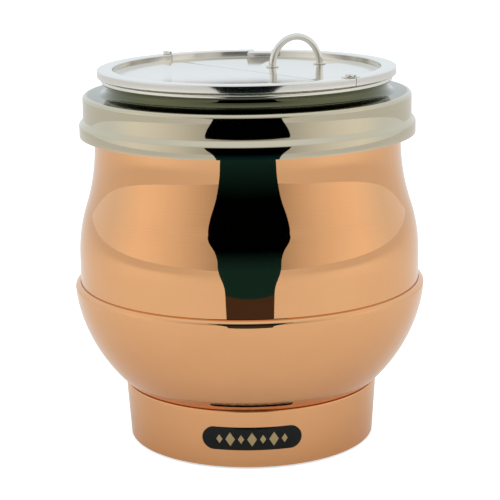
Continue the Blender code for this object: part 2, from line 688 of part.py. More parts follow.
def lid_profile():
    """Section of the lid: recessed disc, hollow ring and the hem that rests on the pot's bead."""
    sheet = LID_SHEET
    hem_r = LID_R - LID_HEM
    return [(0.0, LID_DISC_Z), (LID_INNER_R, LID_DISC_Z), (LID_INNER_R, LID_TOP_Z), (LID_R, LID_TOP_Z),
            (LID_R, LID_BOTTOM_Z), (hem_r, LID_BOTTOM_Z), (hem_r, LID_BOTTOM_Z + sheet),
            (LID_R - sheet, LID_BOTTOM_Z + sheet), (LID_R - sheet, LID_TOP_Z - sheet),
            (LID_INNER_R + sheet, LID_TOP_Z - sheet), (LID_INNER_R + sheet, LID_BOTTOM_Z),
            (0.0, LID_BOTTOM_Z)]


def notched_lid(name):
    """The same section, with the ring stepped inwards round the ladle notch."""
    sheet = LID_SHEET
    outer = ring_outline(LID_R, NOTCH_DEPTH, NOTCH_HALF)
    inner = ring_outline(LID_INNER_R, NOTCH_DEPTH, NOTCH_HALF + NOTCH_RIM)
    made = outline_slab(name, [outer], LID_BOTTOM_Z, LID_TOP_Z, STEEL)
    recess = outline_slab(name + "_recess", [inner], LID_DISC_Z, LID_TOP_Z + LARGE, None, CUTTER_COLLECTION)
    combine(made, recess, "DIFFERENCE")
    hollow_inner = ring_outline(LID_INNER_R + sheet, NOTCH_DEPTH, NOTCH_HALF + NOTCH_RIM - sheet)
    hollow_outer = ring_outline(LID_R - sheet, NOTCH_DEPTH, NOTCH_HALF + sheet)
    hollow = outline_slab(name + "_hollow", [hollow_outer, hollow_inner], LID_BOTTOM_Z + sheet,
                          LID_TOP_Z - sheet, None, CUTTER_COLLECTION)
    combine(made, hollow, "DIFFERENCE")
    mouth_inner = ring_outline(LID_INNER_R + 1.5 * sheet, NOTCH_DEPTH, NOTCH_HALF + NOTCH_RIM - 1.5 * sheet)
    mouth_outer = ring_outline(LID_R - LID_HEM, NOTCH_DEPTH - LID_HEM + sheet, NOTCH_HALF + sheet)
    mouth = outline_slab(name + "_mouth", [mouth_outer, mouth_inner], LID_BOTTOM_Z - 2.0 * sheet,
                         LID_BOTTOM_Z + 2.0 * sheet, None, CUTTER_COLLECTION)
    combine(made, mouth, "DIFFERENCE")
    return made


def keep_side(made, side):
    """Part the lid along its hinge line and keep the side that faces the flap or the other."""
    away = HINGE_OFFSET + side * LID_CUT / 2.0 - side * LARGE / 2.0
    place = Matrix.Rotation(HINGE_TURN, 4, "Z") @ Matrix.Translation((away, 0.0, LID_TOP_Z))
    block = box(made.name + "_other_side", (LARGE, LARGE, LARGE), None, place, folder=CUTTER_COLLECTION)
    combine(made, block, "DIFFERENCE")


def lid_fixed_half():
    """The half of the lid that stays on the pot."""
    made = turned("lid_fixed_half", lid_profile(), STEEL)
    keep_side(made, -1.0)
    return made


def handle_feet():
    """Plan position of the handle's two legs."""
    along = Vector((math.cos(HANDLE_TURN), math.sin(HANDLE_TURN))) * HANDLE_HALF_SPAN
    centre = Vector(HANDLE_CENTRE)
    return {"left": centre - along, "right": centre + along}


def lid_flap():
    """The hinged half, with the ladle notch and two holes for the handle's legs."""
    made = notched_lid("lid_flap")
    keep_side(made, 1.0)
    for side, foot in handle_feet().items():
        hole = cylinder(f"handle_hole_{side}", HANDLE_ROD_R + GAP, 20.0 * MM, None,
                        placement(foot.x, foot.y, LID_DISC_Z), folder=CUTTER_COLLECTION)
        combine(made, hole, "DIFFERENCE")
    return made


def lid_handle():
    """Bent rod that goes through the flap at both ends, with a washer and a nut on each leg."""
    centre = Vector((*HANDLE_CENTRE, LID_DISC_Z))
    along = Vector((math.cos(HANDLE_TURN), math.sin(HANDLE_TURN), 0.0))
    up = Vector((0.0, 0.0, 1.0))
    count = 16
    below = LID_SHEET + HANDLE_NUT + 1.0 * MM
    points = [centre - along * HANDLE_HALF_SPAN - up * below]
    for index in range(count + 1):
        turn = math.pi * (1.0 - index / count)
        points.append(centre + along * HANDLE_HALF_SPAN * math.cos(turn) + up * HANDLE_RISE * math.sin(turn))
    points.append(centre + along * HANDLE_HALF_SPAN - up * below)
    tube("lid_handle", points, HANDLE_ROD_R, STEEL, detail=3)
    clear = HANDLE_ROD_R + 1.5 * GAP
    for side, foot in handle_feet().items():
        washer_z = LID_DISC_Z + GAP
        disc(f"handle_washer_{side}", HANDLE_WASHER_R, washer_z, washer_z + HANDLE_WASHER, STEEL,
             hole=clear, steps=20, at=placement(foot.x, foot.y, 0.0))
        nut_top = LID_BOTTOM_Z - GAP
        nut(f"handle_nut_{side}", HANDLE_NUT_R, HANDLE_NUT, clear, STEEL, placement(foot.x, foot.y, nut_top))


def hinge_place(side, along):
    """A placement on the hinge line: X faces the flap and Y runs outwards along the line."""
    turn = HINGE_TURN if side == "left" else HINGE_TURN + math.pi
    facing = 1.0 if side == "left" else -1.0
    return (Matrix.Rotation(turn, 4, "Z") @ Matrix.Translation((facing * HINGE_OFFSET, along, HINGE_Z)))


def hinge_leaf(name, side, start, to_flap):
    """One leaf: a knuckle on the hinge line with a plate that lies on the lid's ring."""
    along = start + KNUCKLE_LENGTH / 2.0
    lay = Matrix.Rotation(math.pi / 2.0, 4, "X")
    place = hinge_place(side, along)
    facing = 1.0 if (side == "left") == to_flap else -1.0
    made = cylinder(name, KNUCKLE_R, KNUCKLE_LENGTH, STEEL, place @ lay)
    plate_place = place @ Matrix.Translation((facing * LEAF_REACH / 2.0, 0.0,
                                              (LEAF_SHEET - 2.0 * KNUCKLE_R) / 2.0))
    plate = box(name + "_plate", (LEAF_REACH, KNUCKLE_LENGTH, LEAF_SHEET), None, plate_place,
                folder=CUTTER_COLLECTION)
    combine(made, plate, "UNION")
    bore = cylinder(name + "_bore", HINGE_PIN_R + RUNNING_GAP, 2.0 * KNUCKLE_LENGTH, None, place @ lay,
                    folder=CUTTER_COLLECTION)
    combine(made, bore, "DIFFERENCE")
    return made


def lid_hinges():
    """A small two-leaf hinge on the ring at each end of the slit."""
    ring_middle = math.sqrt((LID_R - LID_RING_WIDTH / 2.0) ** 2 - HINGE_OFFSET ** 2)
    start = ring_middle - KNUCKLE_LENGTH - KNUCKLE_SPACE / 2.0
    for side in ("left", "right"):
        hinge_leaf(f"hinge_leaf_fixed_{side}", side, start, False)
        hinge_leaf(f"hinge_leaf_flap_{side}", side, ring_middle + KNUCKLE_SPACE / 2.0, True)
        length = 2.0 * KNUCKLE_LENGTH + KNUCKLE_SPACE + 1.0 * MM
        place = hinge_place(side, ring_middle) @ Matrix.Rotation(math.pi / 2.0, 4, "X")
        cylinder(f"hinge_pin_{side}", HINGE_PIN_R, length, PLAIN_STEEL, place)


# ------------------------------------------------------------------ heating

def element_pieces():
    """Heating plate, tubular element and clamp plate under the well."""
    disc("element_plate", ELEMENT_PLATE_R, PLATE_TOP_Z - ELEMENT_PLATE, PLATE_TOP_Z, ALUMINIUM,
         hole=STUD_R + GAP, steps=32)
    disc("clamp_plate", CLAMP_PLATE_R, CLAMP_BOTTOM_Z, CLAMP_TOP_Z, PLAIN_STEEL, hole=STUD_R + GAP, steps=32)
    spread = ELEMENT_END_SPREAD
    count = 28
    points = []
    for index in range(count + 1):
        turn = math.pi / 2.0 + spread + (2.0 * math.pi - 2.0 * spread) * index / count
        points.append(Vector((ELEMENT_RING_R * math.cos(turn), ELEMENT_RING_R * math.sin(turn), TUBE_Z)))
    first = element_end(-1.0)
    second = element_end(1.0)
    drop = Vector((0.0, 0.0, ELEMENT_LEG_DROP))
    bend = Vector((0.0, ELEMENT_LEG_BEND, 0.0))
    lowered = Vector((0.0, 0.0, ELEMENT_LEG_BEND))
    path = [first - drop, first - lowered, first - bend] + points + [second - bend, second - lowered,
                                                                    second - drop]
    tube("heating_element", path, ELEMENT_TUBE_R, PLAIN_STEEL)


def element_end(side):
    """Where an end of the element turns down, on one side of the gap in its ring."""
    spread = ELEMENT_END_SPREAD
    return Vector((side * ELEMENT_RING_R * math.sin(spread), ELEMENT_LEG_R, TUBE_Z))


def insulation():
    """Mineral wool round the well, and a pad under the clamp plate."""
    inner = WELL_R + GAP + 0.3 * MM
    low = WELL_FLOOR_Z + BAND_ABOVE_WELL_FLOOR
    disc("insulation_band", inner + BAND_THICK, low, low + BAND_HEIGHT, MINERAL_WOOL, hole=inner)
    top = CLAMP_BOTTOM_Z - GAP
    disc("insulation_pad", PAD_R, top - PAD_THICK, top, MINERAL_WOOL, hole=STUD_NUT_R + 1.0 * MM, steps=32)


def centre_stud():
    """The stud that holds well, bowl and base together, with its nuts and spacers."""
    top = WELL_FLOOR_Z - GAP
    cylinder("centre_stud", STUD_R, top - STUD_BOTTOM_Z, PLAIN_STEEL,
             placement(0.0, 0.0, (top + STUD_BOTTOM_Z) / 2.0))
    clear = STUD_R + GAP
    floor_top = bowl_floor_top()
    floor_bottom = floor_top - SHELL_SHEET
    nuts = {"element_nut": CLAMP_BOTTOM_Z - GAP, "bowl_nut": floor_bottom - GAP,
            "base_nut": BASE_PLATE_Z - GAP}
    for name, nut_top in nuts.items():
        nut(name, STUD_NUT_R, STUD_NUT, clear, BRASS, placement(0.0, 0.0, nut_top))
    spacers = {"shield_spacer": (SHIELD_TOP_Z + GAP, CLAMP_BOTTOM_Z - 2.0 * GAP - STUD_NUT),
               "bowl_spacer": (floor_top + GAP, SHIELD_BOTTOM_Z - GAP)}
    for name, (low, high) in spacers.items():
        disc(name, SPACER_R, low, high, ALUMINIUM, hole=clear, steps=SMALL_STEPS)


def heat_shield():
    """Dished shield between the element and the base, with a hole for the wires."""
    profile = [(SHIELD_R, SHIELD_BOTTOM_Z + SHIELD_RIM), (SHIELD_R, SHIELD_BOTTOM_Z),
               (STUD_R + GAP, SHIELD_BOTTOM_Z)]
    made = turned("heat_shield", profile, ALUMINIUM, sheet=SHIELD_SHEET, steps=32)
    hole = cylinder("wire_hole_in_shield", WIRE_HOLE_R, 10.0 * MM, None,
                    placement(0.0, WIRE_HOLE_OUT, SHIELD_TOP_Z), folder=CUTTER_COLLECTION)
    combine(made, hole, "DIFFERENCE")


# ------------------------------------------------------------------ controls

def wall_inside(z):
    """Inner radius of the skirt at a height."""
    return skirt_radius(z) - SKIRT_SHEET


def seat_outside(radius):
    """Distance from the axis of a flat round seat that just clears the skirt's outside."""
    return skirt_radius(WALL_FITTINGS_Z + radius) + GAP


def seat_inside(radius):
    """Distance from the axis of a flat round seat that just clears the skirt's inside."""
    low = wall_inside(WALL_FITTINGS_Z - radius)
    facet = low * (1.0 - math.cos(math.pi / ROUND_STEPS))
    return math.sqrt(low ** 2 - radius ** 2) - facet - GAP


def thermostat():
    """Thermostat on a bracket behind the skirt, with its shaft through the wall."""
    depth, width, height = THERMOSTAT_SIZE
    z = WALL_FITTINGS_Z
    front = wall_inside(z) - THERMOSTAT_FROM_WALL
    place = Matrix.Rotation(KNOB_TURN, 4, "Z") @ Matrix.Translation((front - depth / 2.0, 0.0, z))
    box("thermostat_body", THERMOSTAT_SIZE, BLACK_PLASTIC, place, bevel=1.0 * MM)
    foot_z = BASE_PLATE_Z + BASE_PLATE_SHEET + GAP
    upright_h = z + height / 2.0 - foot_z
    upright_x = front + GAP + BRACKET_SHEET / 2.0
    upright_place = Matrix.Rotation(KNOB_TURN, 4, "Z") @ Matrix.Translation(
        (upright_x, 0.0, foot_z + upright_h / 2.0))
    made = box("thermostat_bracket", (BRACKET_SHEET, width * 0.7, upright_h), PLAIN_STEEL, upright_place)
    foot_place = Matrix.Rotation(KNOB_TURN, 4, "Z") @ Matrix.Translation(
        (upright_x - 6.0 * MM, 0.0, foot_z + BRACKET_SHEET / 2.0))
    foot = box("bracket_foot", (12.0 * MM + BRACKET_SHEET, width * 0.7, BRACKET_SHEET), None, foot_place,
               folder=CUTTER_COLLECTION)
    combine(made, foot, "UNION")
    hole = cylinder("bracket_hole", SHAFT_R + 1.0 * MM, 10.0 * MM, None, out_of_wall(KNOB_TURN, upright_x, z),
                    folder=CUTTER_COLLECTION)
    combine(made, hole, "DIFFERENCE")
    shaft_start = front + GAP
    shaft_end = knob_back_radius() + KNOB_BORE - GAP
    cylinder("thermostat_shaft", SHAFT_R, shaft_end - shaft_start, PLAIN_STEEL,
             out_of_wall(KNOB_TURN, (shaft_start + shaft_end) / 2.0, z))


def knob_back_radius():
    """Distance of the knob's back from the body's axis."""
    return skirt_radius(WALL_FITTINGS_Z) + GAP + DIAL_SHEET + KNOB_STAND_OFF


def control_knob():
    """Knob with a grip bar, and the plain dial plate behind it."""
    z = WALL_FITTINGS_Z
    back = knob_back_radius()
    inner = SHAFT_R + GAP
    face = KNOB_LENGTH - KNOB_GRIP[2] + 2.0 * MM
    brim = 5.0 * MM
    profile = [(0.0, face), (KNOB_R - 3.5 * MM, face), (KNOB_R - 2.4 * MM, face - 1.0 * MM),
               (KNOB_R - 1.6 * MM, brim), (KNOB_R, brim - 1.5 * MM), (KNOB_R, 0.0), (inner, 0.0),
               (inner, KNOB_BORE), (0.0, KNOB_BORE)]
    place = out_of_wall(KNOB_TURN, back, z)
    made = turned("control_knob", profile, BLACK_PLASTIC, steps=32, at=place)
    grip = box("knob_grip", KNOB_GRIP, None,
               place @ Matrix.Translation((0.0, 0.0, KNOB_LENGTH - KNOB_GRIP[2] / 2.0)),
               folder=CUTTER_COLLECTION)
    combine(made, grip, "UNION")
    stamp = cylinder("dial_stamp", DIAL_R, 40.0 * MM, None, out_of_wall(KNOB_TURN, back, z), steps=32,
                     folder=CUTTER_COLLECTION)
    plate = curved_plate("dial_plate", stamp, z, DIAL_R + 1.0 * MM, DIAL_SHEET, ALUMINIUM)
    hole = cylinder("dial_hole", SHAFT_R + 1.5 * MM, 40.0 * MM, None, out_of_wall(KNOB_TURN, back, z),
                    folder=CUTTER_COLLECTION)
    combine(plate, hole, "DIFFERENCE")


def indicator_lamp():
    """Lamp body through the wall and its lens outside."""
    z = WALL_FITTINGS_Z
    out = seat_outside(LENS_R)
    middle = out - LAMP_LENGTH / 2.0
    cylinder("lamp_body", LAMP_R, LAMP_LENGTH, WHITE_PLASTIC, out_of_wall(LAMP_TURN, middle, z))
    dome = arc((0.0, LENS_RISE - LENS_R), LENS_R, math.pi / 2.0, math.asin((LENS_R - LENS_RISE) / LENS_R), 4)
    rim = dome[-1][0]
    profile = [(0.0, LENS_RISE)] + dome[1:] + [(rim, -0.4 * MM), (0.0, -0.4 * MM)]
    turned("lamp_lens", profile, AMBER, steps=20, at=out_of_wall(LAMP_TURN, out + 0.8 * MM, z))


def cable_gland():
    """Hollow gland through the skirt, with its nut on the inside."""
    z = WALL_FITTINGS_Z
    face = seat_outside(GLAND_HEX_R)
    inner_end = face - GLAND_REACH_IN
    head = [(GLAND_HEX_R, GLAND_HEX), (GLAND_HEX_R, 0.0), (GLAND_R, 0.0), (GLAND_R, inner_end - face),
            (GLAND_BORE_R, inner_end - face), (GLAND_BORE_R, GLAND_HEX + 4.0 * MM),
            (GLAND_R, GLAND_HEX + 4.0 * MM), (GLAND_R + 0.6 * MM, GLAND_HEX)]
    turned("cable_gland", head, BLACK_PLASTIC, closed=True, steps=24, at=out_of_wall(GLAND_TURN, face, z))
    nut("gland_nut", GLAND_HEX_R, GLAND_NUT, GLAND_R + GAP, BLACK_PLASTIC,
        out_of_wall(GLAND_TURN, seat_inside(GLAND_HEX_R), z))


def wiring_places():
    """Middles of the wire holes in the bowl's floor and in the heat shield, and a height under the pad."""
    bowl_hole = Vector((0.0, WIRE_HOLE_OUT, bowl_floor_top()))
    shield_hole = Vector((0.0, WIRE_HOLE_OUT, SHIELD_TOP_Z))
    pad_bottom = CLAMP_BOTTOM_Z - GAP - PAD_THICK
    return bowl_hole, shield_hole, (SHIELD_TOP_Z + pad_bottom) / 2.0


def through_holes(lane_x, lane_y):
    """Points that take a wire straight up through the bowl's floor and the shield, in its own lane."""
    bowl_hole, shield_hole, under_pad = wiring_places()
    lane = Vector((lane_x, lane_y, 0.0))
    low = Vector((0.0, 0.0, 9.0 * MM))
    high = Vector((0.0, 0.0, 14.0 * MM))
    top = Vector((lane_x, WIRE_HOLE_OUT + lane_y, under_pad))
    return [bowl_hole + lane - low, bowl_hole + lane + high, shield_hole + lane - high, top]


def terminals_and_cutout():
    """Terminal block and earth screw on the base plate, and a cut-out under the well."""
    plate_top = BASE_PLATE_Z + BASE_PLATE_SHEET + GAP
    length, width, height = TERMINAL_SIZE
    box("terminal_block", (length, width, height), WHITE_PLASTIC,
        placement(TERMINAL_PLACE[0], TERMINAL_PLACE[1], plate_top + height / 2.0), bevel=1.0 * MM)
    disc("earth_screw", 4.0 * MM, plate_top, plate_top + 5.0 * MM, BRASS, steps=6,
         at=placement(EARTH_PLACE[0], EARTH_PLACE[1], 0.0))
    top = WELL_FLOOR_Z - GAP
    disc("thermal_cut_out", CUTOUT_R, top - CUTOUT_HEIGHT, top, BLACK_PLASTIC, steps=20,
         at=placement(CUTOUT_OUT, 0.0, 0.0))


def capillary_and_bulb():
    """Sensing bulb against the well's floor and the thin tube that joins it to the thermostat."""
    under_pad = wiring_places()[2]
    bulb_z = WELL_FLOOR_Z - GAP - BULB_R
    lay = Matrix.Rotation(math.pi / 2.0, 4, "Y")
    cylinder("thermostat_bulb", BULB_R, BULB_LENGTH, BRASS, placement(0.0, BULB_OUT, bulb_z) @ lay, steps=12)
    inward = Vector((-math.cos(KNOB_TURN), -math.sin(KNOB_TURN), 0.0))
    start_r = wall_inside(WALL_FITTINGS_Z) - THERMOSTAT_FROM_WALL - THERMOSTAT_SIZE[0] - 2.0 * GAP
    start = -inward * start_r + Vector((0.0, 0.0, WALL_FITTINGS_Z))
    end = Vector((BULB_LENGTH / 2.0 + 2.0 * GAP, BULB_OUT, bulb_z))
    route = [start, start + inward * 6.0 * MM]
    route += through_holes(5.0 * MM, 2.0 * MM)
    route += [Vector((16.0 * MM, PAD_R + 8.0 * MM, under_pad)),
              Vector((34.0 * MM, ELEMENT_PLATE_R + 10.0 * MM, TUBE_Z - 8.0 * MM)),
              end + Vector((14.0 * MM, -2.0 * MM, -4.0 * MM)), end + Vector((6.0 * MM, 0.0, 0.0)), end]
    tube("capillary_tube", smooth_route(route, ROUTE_SPACING), CAPILLARY_R, BRASS)


def wires():
    """Leads from the terminal block up to the element, by way of the cut-out."""
    under_pad = wiring_places()[2]
    block_top = BASE_PLATE_Z + BASE_PLATE_SHEET + GAP + TERMINAL_SIZE[2] + 2.0 * GAP
    up = Vector((0.0, 0.0, 1.0))
    lead = up * WIRE_LEAD
    first, second = (element_end(side) - up * (ELEMENT_LEG_DROP + 2.0 * GAP) for side in (-1.0, 1.0))
    block = Vector((*TERMINAL_PLACE, block_top))
    start = block + Vector((-10.0 * MM, 0.0, 0.0))
    route = [start, start + lead] + through_holes(-5.0 * MM, 2.0 * MM)
    route += [first - 1.2 * lead, first]
    tube("neutral_wire", smooth_route(route, ROUTE_SPACING), WIRE_R, BLUE_SLEEVE)
    start = block + Vector((10.0 * MM, 0.0, 0.0))
    cut_out = Vector((CUTOUT_OUT, 0.0, WELL_FLOOR_Z - 3.0 * GAP - CUTOUT_HEIGHT))
    inner = cut_out - Vector((4.0 * MM, 0.0, 0.0))
    outer = cut_out + Vector((4.0 * MM, 0.0, 0.0))
    route = [start, start + lead] + through_holes(1.0 * MM, -5.0 * MM)
    route += [Vector((60.0 * MM, 0.7 * WIRE_HOLE_OUT, under_pad)), inner - 4.0 * lead, inner - lead, inner]
    tube("live_wire", smooth_route(route, LONG_ROUTE_SPACING), WIRE_R, BROWN_SLEEVE)
    route = [outer, outer - lead, Vector((CUTOUT_OUT - 22.0 * MM, 55.0 * MM, TUBE_Z - 20.0 * MM)),
             Vector((0.5 * CUTOUT_OUT, ELEMENT_LEG_R - 8.0 * MM, second.z - 6.0 * MM)),
             second - 1.2 * lead, second]
    tube("element_wire", smooth_route(route, LONG_ROUTE_SPACING), WIRE_R, BROWN_SLEEVE)


def build():
    """Make every piece of the kettle."""
    clear_scene()
    upper_shell()
    lower_bowl()
    base_skirt()
    name_badge()
    base_plate()
    feet()
    collar()
    water_vessel()
    soup_pot()
    lid_fixed_half()
    lid_flap()
    lid_handle()
    lid_hinges()
    element_pieces()
    insulation()
    centre_stud()
    heat_shield()
    thermostat()
    control_knob()
    indicator_lamp()
    cable_gland()
    terminals_and_cutout()
    capillary_and_bulb()
    wires()


build()
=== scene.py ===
import math

import bmesh
import bpy
from bpy.props import FloatProperty, FloatVectorProperty, IntProperty, PointerProperty
from mathutils import Matrix, Vector


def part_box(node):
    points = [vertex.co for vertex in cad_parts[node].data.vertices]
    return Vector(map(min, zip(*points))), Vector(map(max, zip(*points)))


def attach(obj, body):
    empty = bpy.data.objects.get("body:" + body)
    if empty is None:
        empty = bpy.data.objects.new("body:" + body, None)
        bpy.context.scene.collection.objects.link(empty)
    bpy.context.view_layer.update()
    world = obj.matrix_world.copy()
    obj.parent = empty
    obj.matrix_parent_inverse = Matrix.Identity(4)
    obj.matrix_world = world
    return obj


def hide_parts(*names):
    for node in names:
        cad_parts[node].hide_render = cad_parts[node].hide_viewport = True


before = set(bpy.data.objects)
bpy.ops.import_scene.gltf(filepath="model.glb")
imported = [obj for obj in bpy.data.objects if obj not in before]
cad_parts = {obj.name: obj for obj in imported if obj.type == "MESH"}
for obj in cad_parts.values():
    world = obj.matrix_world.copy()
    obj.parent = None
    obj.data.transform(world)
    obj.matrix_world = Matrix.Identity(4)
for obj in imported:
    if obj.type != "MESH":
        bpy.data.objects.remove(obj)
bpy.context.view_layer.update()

bl_info = {
    "name": "Soup Kettle Looks",
    "version": (1, 0, 0),
    "blender": (4, 5, 0),
    "location": "View3D > Sidebar > Kettle",
    "description": "Builds the finished surfaces of a copper soup kettle round its fixed frame",
    "category": "Object",
}

MM = 0.001

# ---- clearances between pieces
GAP = 0.3 * MM

# ---- copper body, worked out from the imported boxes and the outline's own radii
SKIRT_BOTTOM_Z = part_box("base_skirt")[0][2]
SKIRT_TOP_Z = SKIRT_BOTTOM_Z + 58.0 * MM
SKIRT_BOTTOM_R = 123.4 * MM
SKIRT_TOP_R = 127.3 * MM
SKIRT_LIP = 1.4 * MM
SHELL_TOP_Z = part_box("upper_shell")[1][2]
SHELL_LOW_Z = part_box("upper_shell")[0][2]
BEAD_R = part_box("lower_bowl")[1][0]
BEAD_TOP_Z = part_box("lower_bowl")[1][2]
BEAD_HEIGHT = 5.0 * MM
BELLY_R = 169.6 * MM
BELLY_ABOVE_BEAD = 27.3 * MM
NECK_R = 151.4 * MM
NECK_ABOVE_BELLY = 112.0 * MM
NECK_ARC_R = 200.0 * MM
BOWL_TOP_Z = BEAD_TOP_Z - BEAD_HEIGHT
BOWL_WALL = (0.4 * MM, 11.0 * MM)   # in and down from the bead's widest place
BOWL_HIP = (6.2 * MM, 40.0 * MM)    # in from the widest place, up from the skirt
BOWL_SEAT_IN = 0.5 * MM             # where the bowl meets the skirt's lip
BOWL_FLOOR_IN = 15.3 * MM
BOWL_FLOOR_DROP = 9.5 * MM
BOWL_FLOOR_DISH = 1.6 * MM
BELLY_Z = BEAD_TOP_Z + BELLY_ABOVE_BEAD
NECK_Z = BELLY_Z + NECK_ABOVE_BELLY
STUD_HOLE_R = 4.3 * MM
WIRE_HOLE_R = 9.0 * MM
WIRE_HOLE_OUT = 60.0 * MM           # wire hole from the axis
CUTTER = 20.0 * MM                  # length of a cutter through one sheet

# ---- collar, pot and well
COLLAR_TOP_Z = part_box("collar")[1][2]
COLLAR_LOW_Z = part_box("collar")[0][2]
COLLAR_BAND_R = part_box("collar")[1][0]
COLLAR_FLAT_Z = COLLAR_TOP_Z - 10.0 * MM
COLLAR_NECK_R = 138.0 * MM
COLLAR_COVE_R = 8.5 * MM
COLLAR_EDGE_R = 3.7 * MM
COLLAR_WALL_R = 161.7 * MM
COLLAR_WALL_HEIGHT = 24.0 * MM
COLLAR_BEVEL = 4.4 * MM
POT_FLOOR_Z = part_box("soup_pot")[0][2]
POT_RIM_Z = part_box("soup_pot")[1][2]
POT_OUT_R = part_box("soup_pot")[1][0]
POT_R = 135.8 * MM
POT_BEAD_R = 3.1 * MM
POT_CORNER_R = 15.0 * MM
WELL_TOP_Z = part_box("water_vessel")[1][2]
WELL_FLOOR_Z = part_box("water_vessel")[0][2]
WELL_FLANGE_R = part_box("water_vessel")[1][0]
WELL_R = 145.5 * MM
WELL_CORNER_R = 15.0 * MM

# ---- lid, hinge line, ladle notch and handle
LID_BOTTOM_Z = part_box("lid_fixed_half")[0][2]
LID_TOP_Z = LID_BOTTOM_Z + 7.5 * MM
LID_DISC_Z = LID_TOP_Z - 6.4 * MM
LID_R = 146.7 * MM
LID_INNER_R = 131.5 * MM
LID_HEM = 7.2 * MM
LID_EDGE_R = 0.9 * MM
HINGE_TURN = math.radians(40.0)
HINGE_OFFSET = 8.6 * MM
NOTCH_TURN = math.radians(83.0)
NOTCH_HALF = 10.0 * MM
NOTCH_DEPTH = 18.0 * MM
NOTCH_RIM = 3.0 * MM
HANDLE_CENTRE = Vector((50.0 * MM, 48.0 * MM, 0.0))
HANDLE_TURN = math.radians(22.0)
HANDLE_HALF_SPAN = 26.0 * MM
HANDLE_RISE = 29.4 * MM
HANDLE_FOOT_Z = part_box("lid_handle")[0][2]

# ---- badge and rear fittings
BADGE_Z = (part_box("name_badge")[0][2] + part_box("name_badge")[1][2]) / 2.0
FITTINGS_Z = SKIRT_BOTTOM_Z + 29.0 * MM
KNOB_TURN = math.radians(55.0)
GLAND_TURN = math.radians(90.0)
LAMP_TURN = math.radians(125.0)
WALL_HOLES = ((KNOB_TURN, 4.5 * MM), (GLAND_TURN, 7.3 * MM), (LAMP_TURN, 5.3 * MM))
DIAL_SHEET = 0.8 * MM
DIAL_MARKS = 10
DIAL_MARKS_R = 21.7 * MM
BADGE_SHEET = 1.0 * MM

# ---- stage
FLOOR_HALF = 12.0
SOFTBOX_PLACE = (1.6, -0.6, 1.3)
SOFTBOX_AIM = (0.0, 0.0, 0.2)
SOFTBOX_SIZE = (1.4, 1.6)
SOFTBOX_POWER = 9.0
CARD_DISTANCE = 0.52                # before the kettle's axis
# the brown foot is a painted shadow: the floor's shade just before the kettle, as it shows in the polish
CARD_SHADOW_FOOT = ((0.0, 0.110), (0.087, 0.124))      # height and half width of the brown foot's ends
CARD_LINE = (CARD_SHADOW_FOOT[1], (0.13, 0.134), (0.18, 0.153), (0.22, 0.162), (0.26, 0.166), (0.31, 0.186),
             (0.36, 0.222), (0.395, 0.238), (0.410, 0.236))
CARD_LINE_STEPS = 8
CARD_CAST_Z = (0.20, 0.31)          # the felt's teal cast fades out between these heights
CAMERA_PLACE = (0.0007, -1.6128, 0.5692)
CAMERA_TILT = math.radians(76.672)
CAMERA_ROLL = math.radians(-0.85)
CAMERA_LENS = 118.47

PI = math.pi


# ------------------------------------------------------------------ sizes and colours

def linear(code):
    """Linear colour of an sRGB hex value."""
    parts = [int(code[start:start + 2], 16) / 255.0 for start in (1, 3, 5)]
    return tuple(part / 12.92 if part <= 0.04045 else ((part + 0.055) / 1.055) ** 2.4 for part in parts)


def length(name, description, value):
    """A length that a user may change."""
    return FloatProperty(name=name, description=description, default=value, min=0.0, unit="LENGTH")


def colour(name, description, code):
    """A colour that a user may change, given as an sRGB hex value."""
    return FloatVectorProperty(name=name, description=description, default=linear(code), size=3,
                               min=0.0, max=1.0, subtype="COLOR")


class KettleSizes(bpy.types.PropertyGroup):
    """Gauges and fineness of the finished pieces."""

    spin_steps: IntProperty(name="Spin steps", description="Facets round each spun piece",
                            default=288, min=48, max=720)
    shell_sheet: length("Shell sheet", "Gauge of the copper shell and bowl", 1.0 * MM)
    skirt_sheet: length("Skirt sheet", "Gauge of the copper base skirt", 1.2 * MM)
    collar_sheet: length("Collar sheet", "Gauge of the stainless collar", 1.2 * MM)
    vessel_sheet: length("Vessel sheet", "Gauge of the well and of the pot", 0.8 * MM)
    lid_sheet: length("Lid sheet", "Gauge of the lid", 1.0 * MM)
    lid_slit: length("Lid slit", "Width of the slit between the lid's halves", 0.6 * MM)
    handle_rod: length("Handle rod", "Radius of the handle's rod", 3.5 * MM)
    badge_length: length("Badge length", "Length of the badge round the skirt", 97.0 * MM)
    badge_height: length("Badge height", "Height of the badge", 22.7 * MM)


class KettleColours(bpy.types.PropertyGroup):
    """Colours of the finished pieces."""

    copper: colour("Copper", "Polished copper under clear lacquer", "#e7af7d")
    copper_deep: colour("Deep copper", "Copper where the polish is thinner", "#dba06e")
    steel: colour("Stainless", "Mirror-polished stainless steel", "#cbc2ab")
    steel_deep: colour("Deep stainless", "Stainless steel in the polishing haze", "#bdb49e")
    lid_steel: colour("Lid steel", "Mirror-polished stainless steel of the lid and pot", "#d4d1c4")
    lid_steel_deep: colour("Deep lid steel", "Lid steel in the polishing haze", "#c5c2b5")
    enamel: colour("Badge enamel", "Gloss black enamel of the badge", "#050a09")
    champagne: colour("Badge motif", "Champagne-coloured metal of the motif", "#b9a67c")
    plastic: colour("Knob plastic", "Black moulded plastic", "#161618")
    lens: colour("Lamp lens", "Amber lens of the lamp", "#d8741a")


# ------------------------------------------------------------------ making pieces

def arc(centre, radius, start, end, points):
    """Points of an arc in a section, from one angle to another, both ends included."""
    turns = [start + (end - start) * index / points for index in range(points + 1)]
    return [(centre[0] + radius * math.cos(turn), centre[1] + radius * math.sin(turn)) for turn in turns]


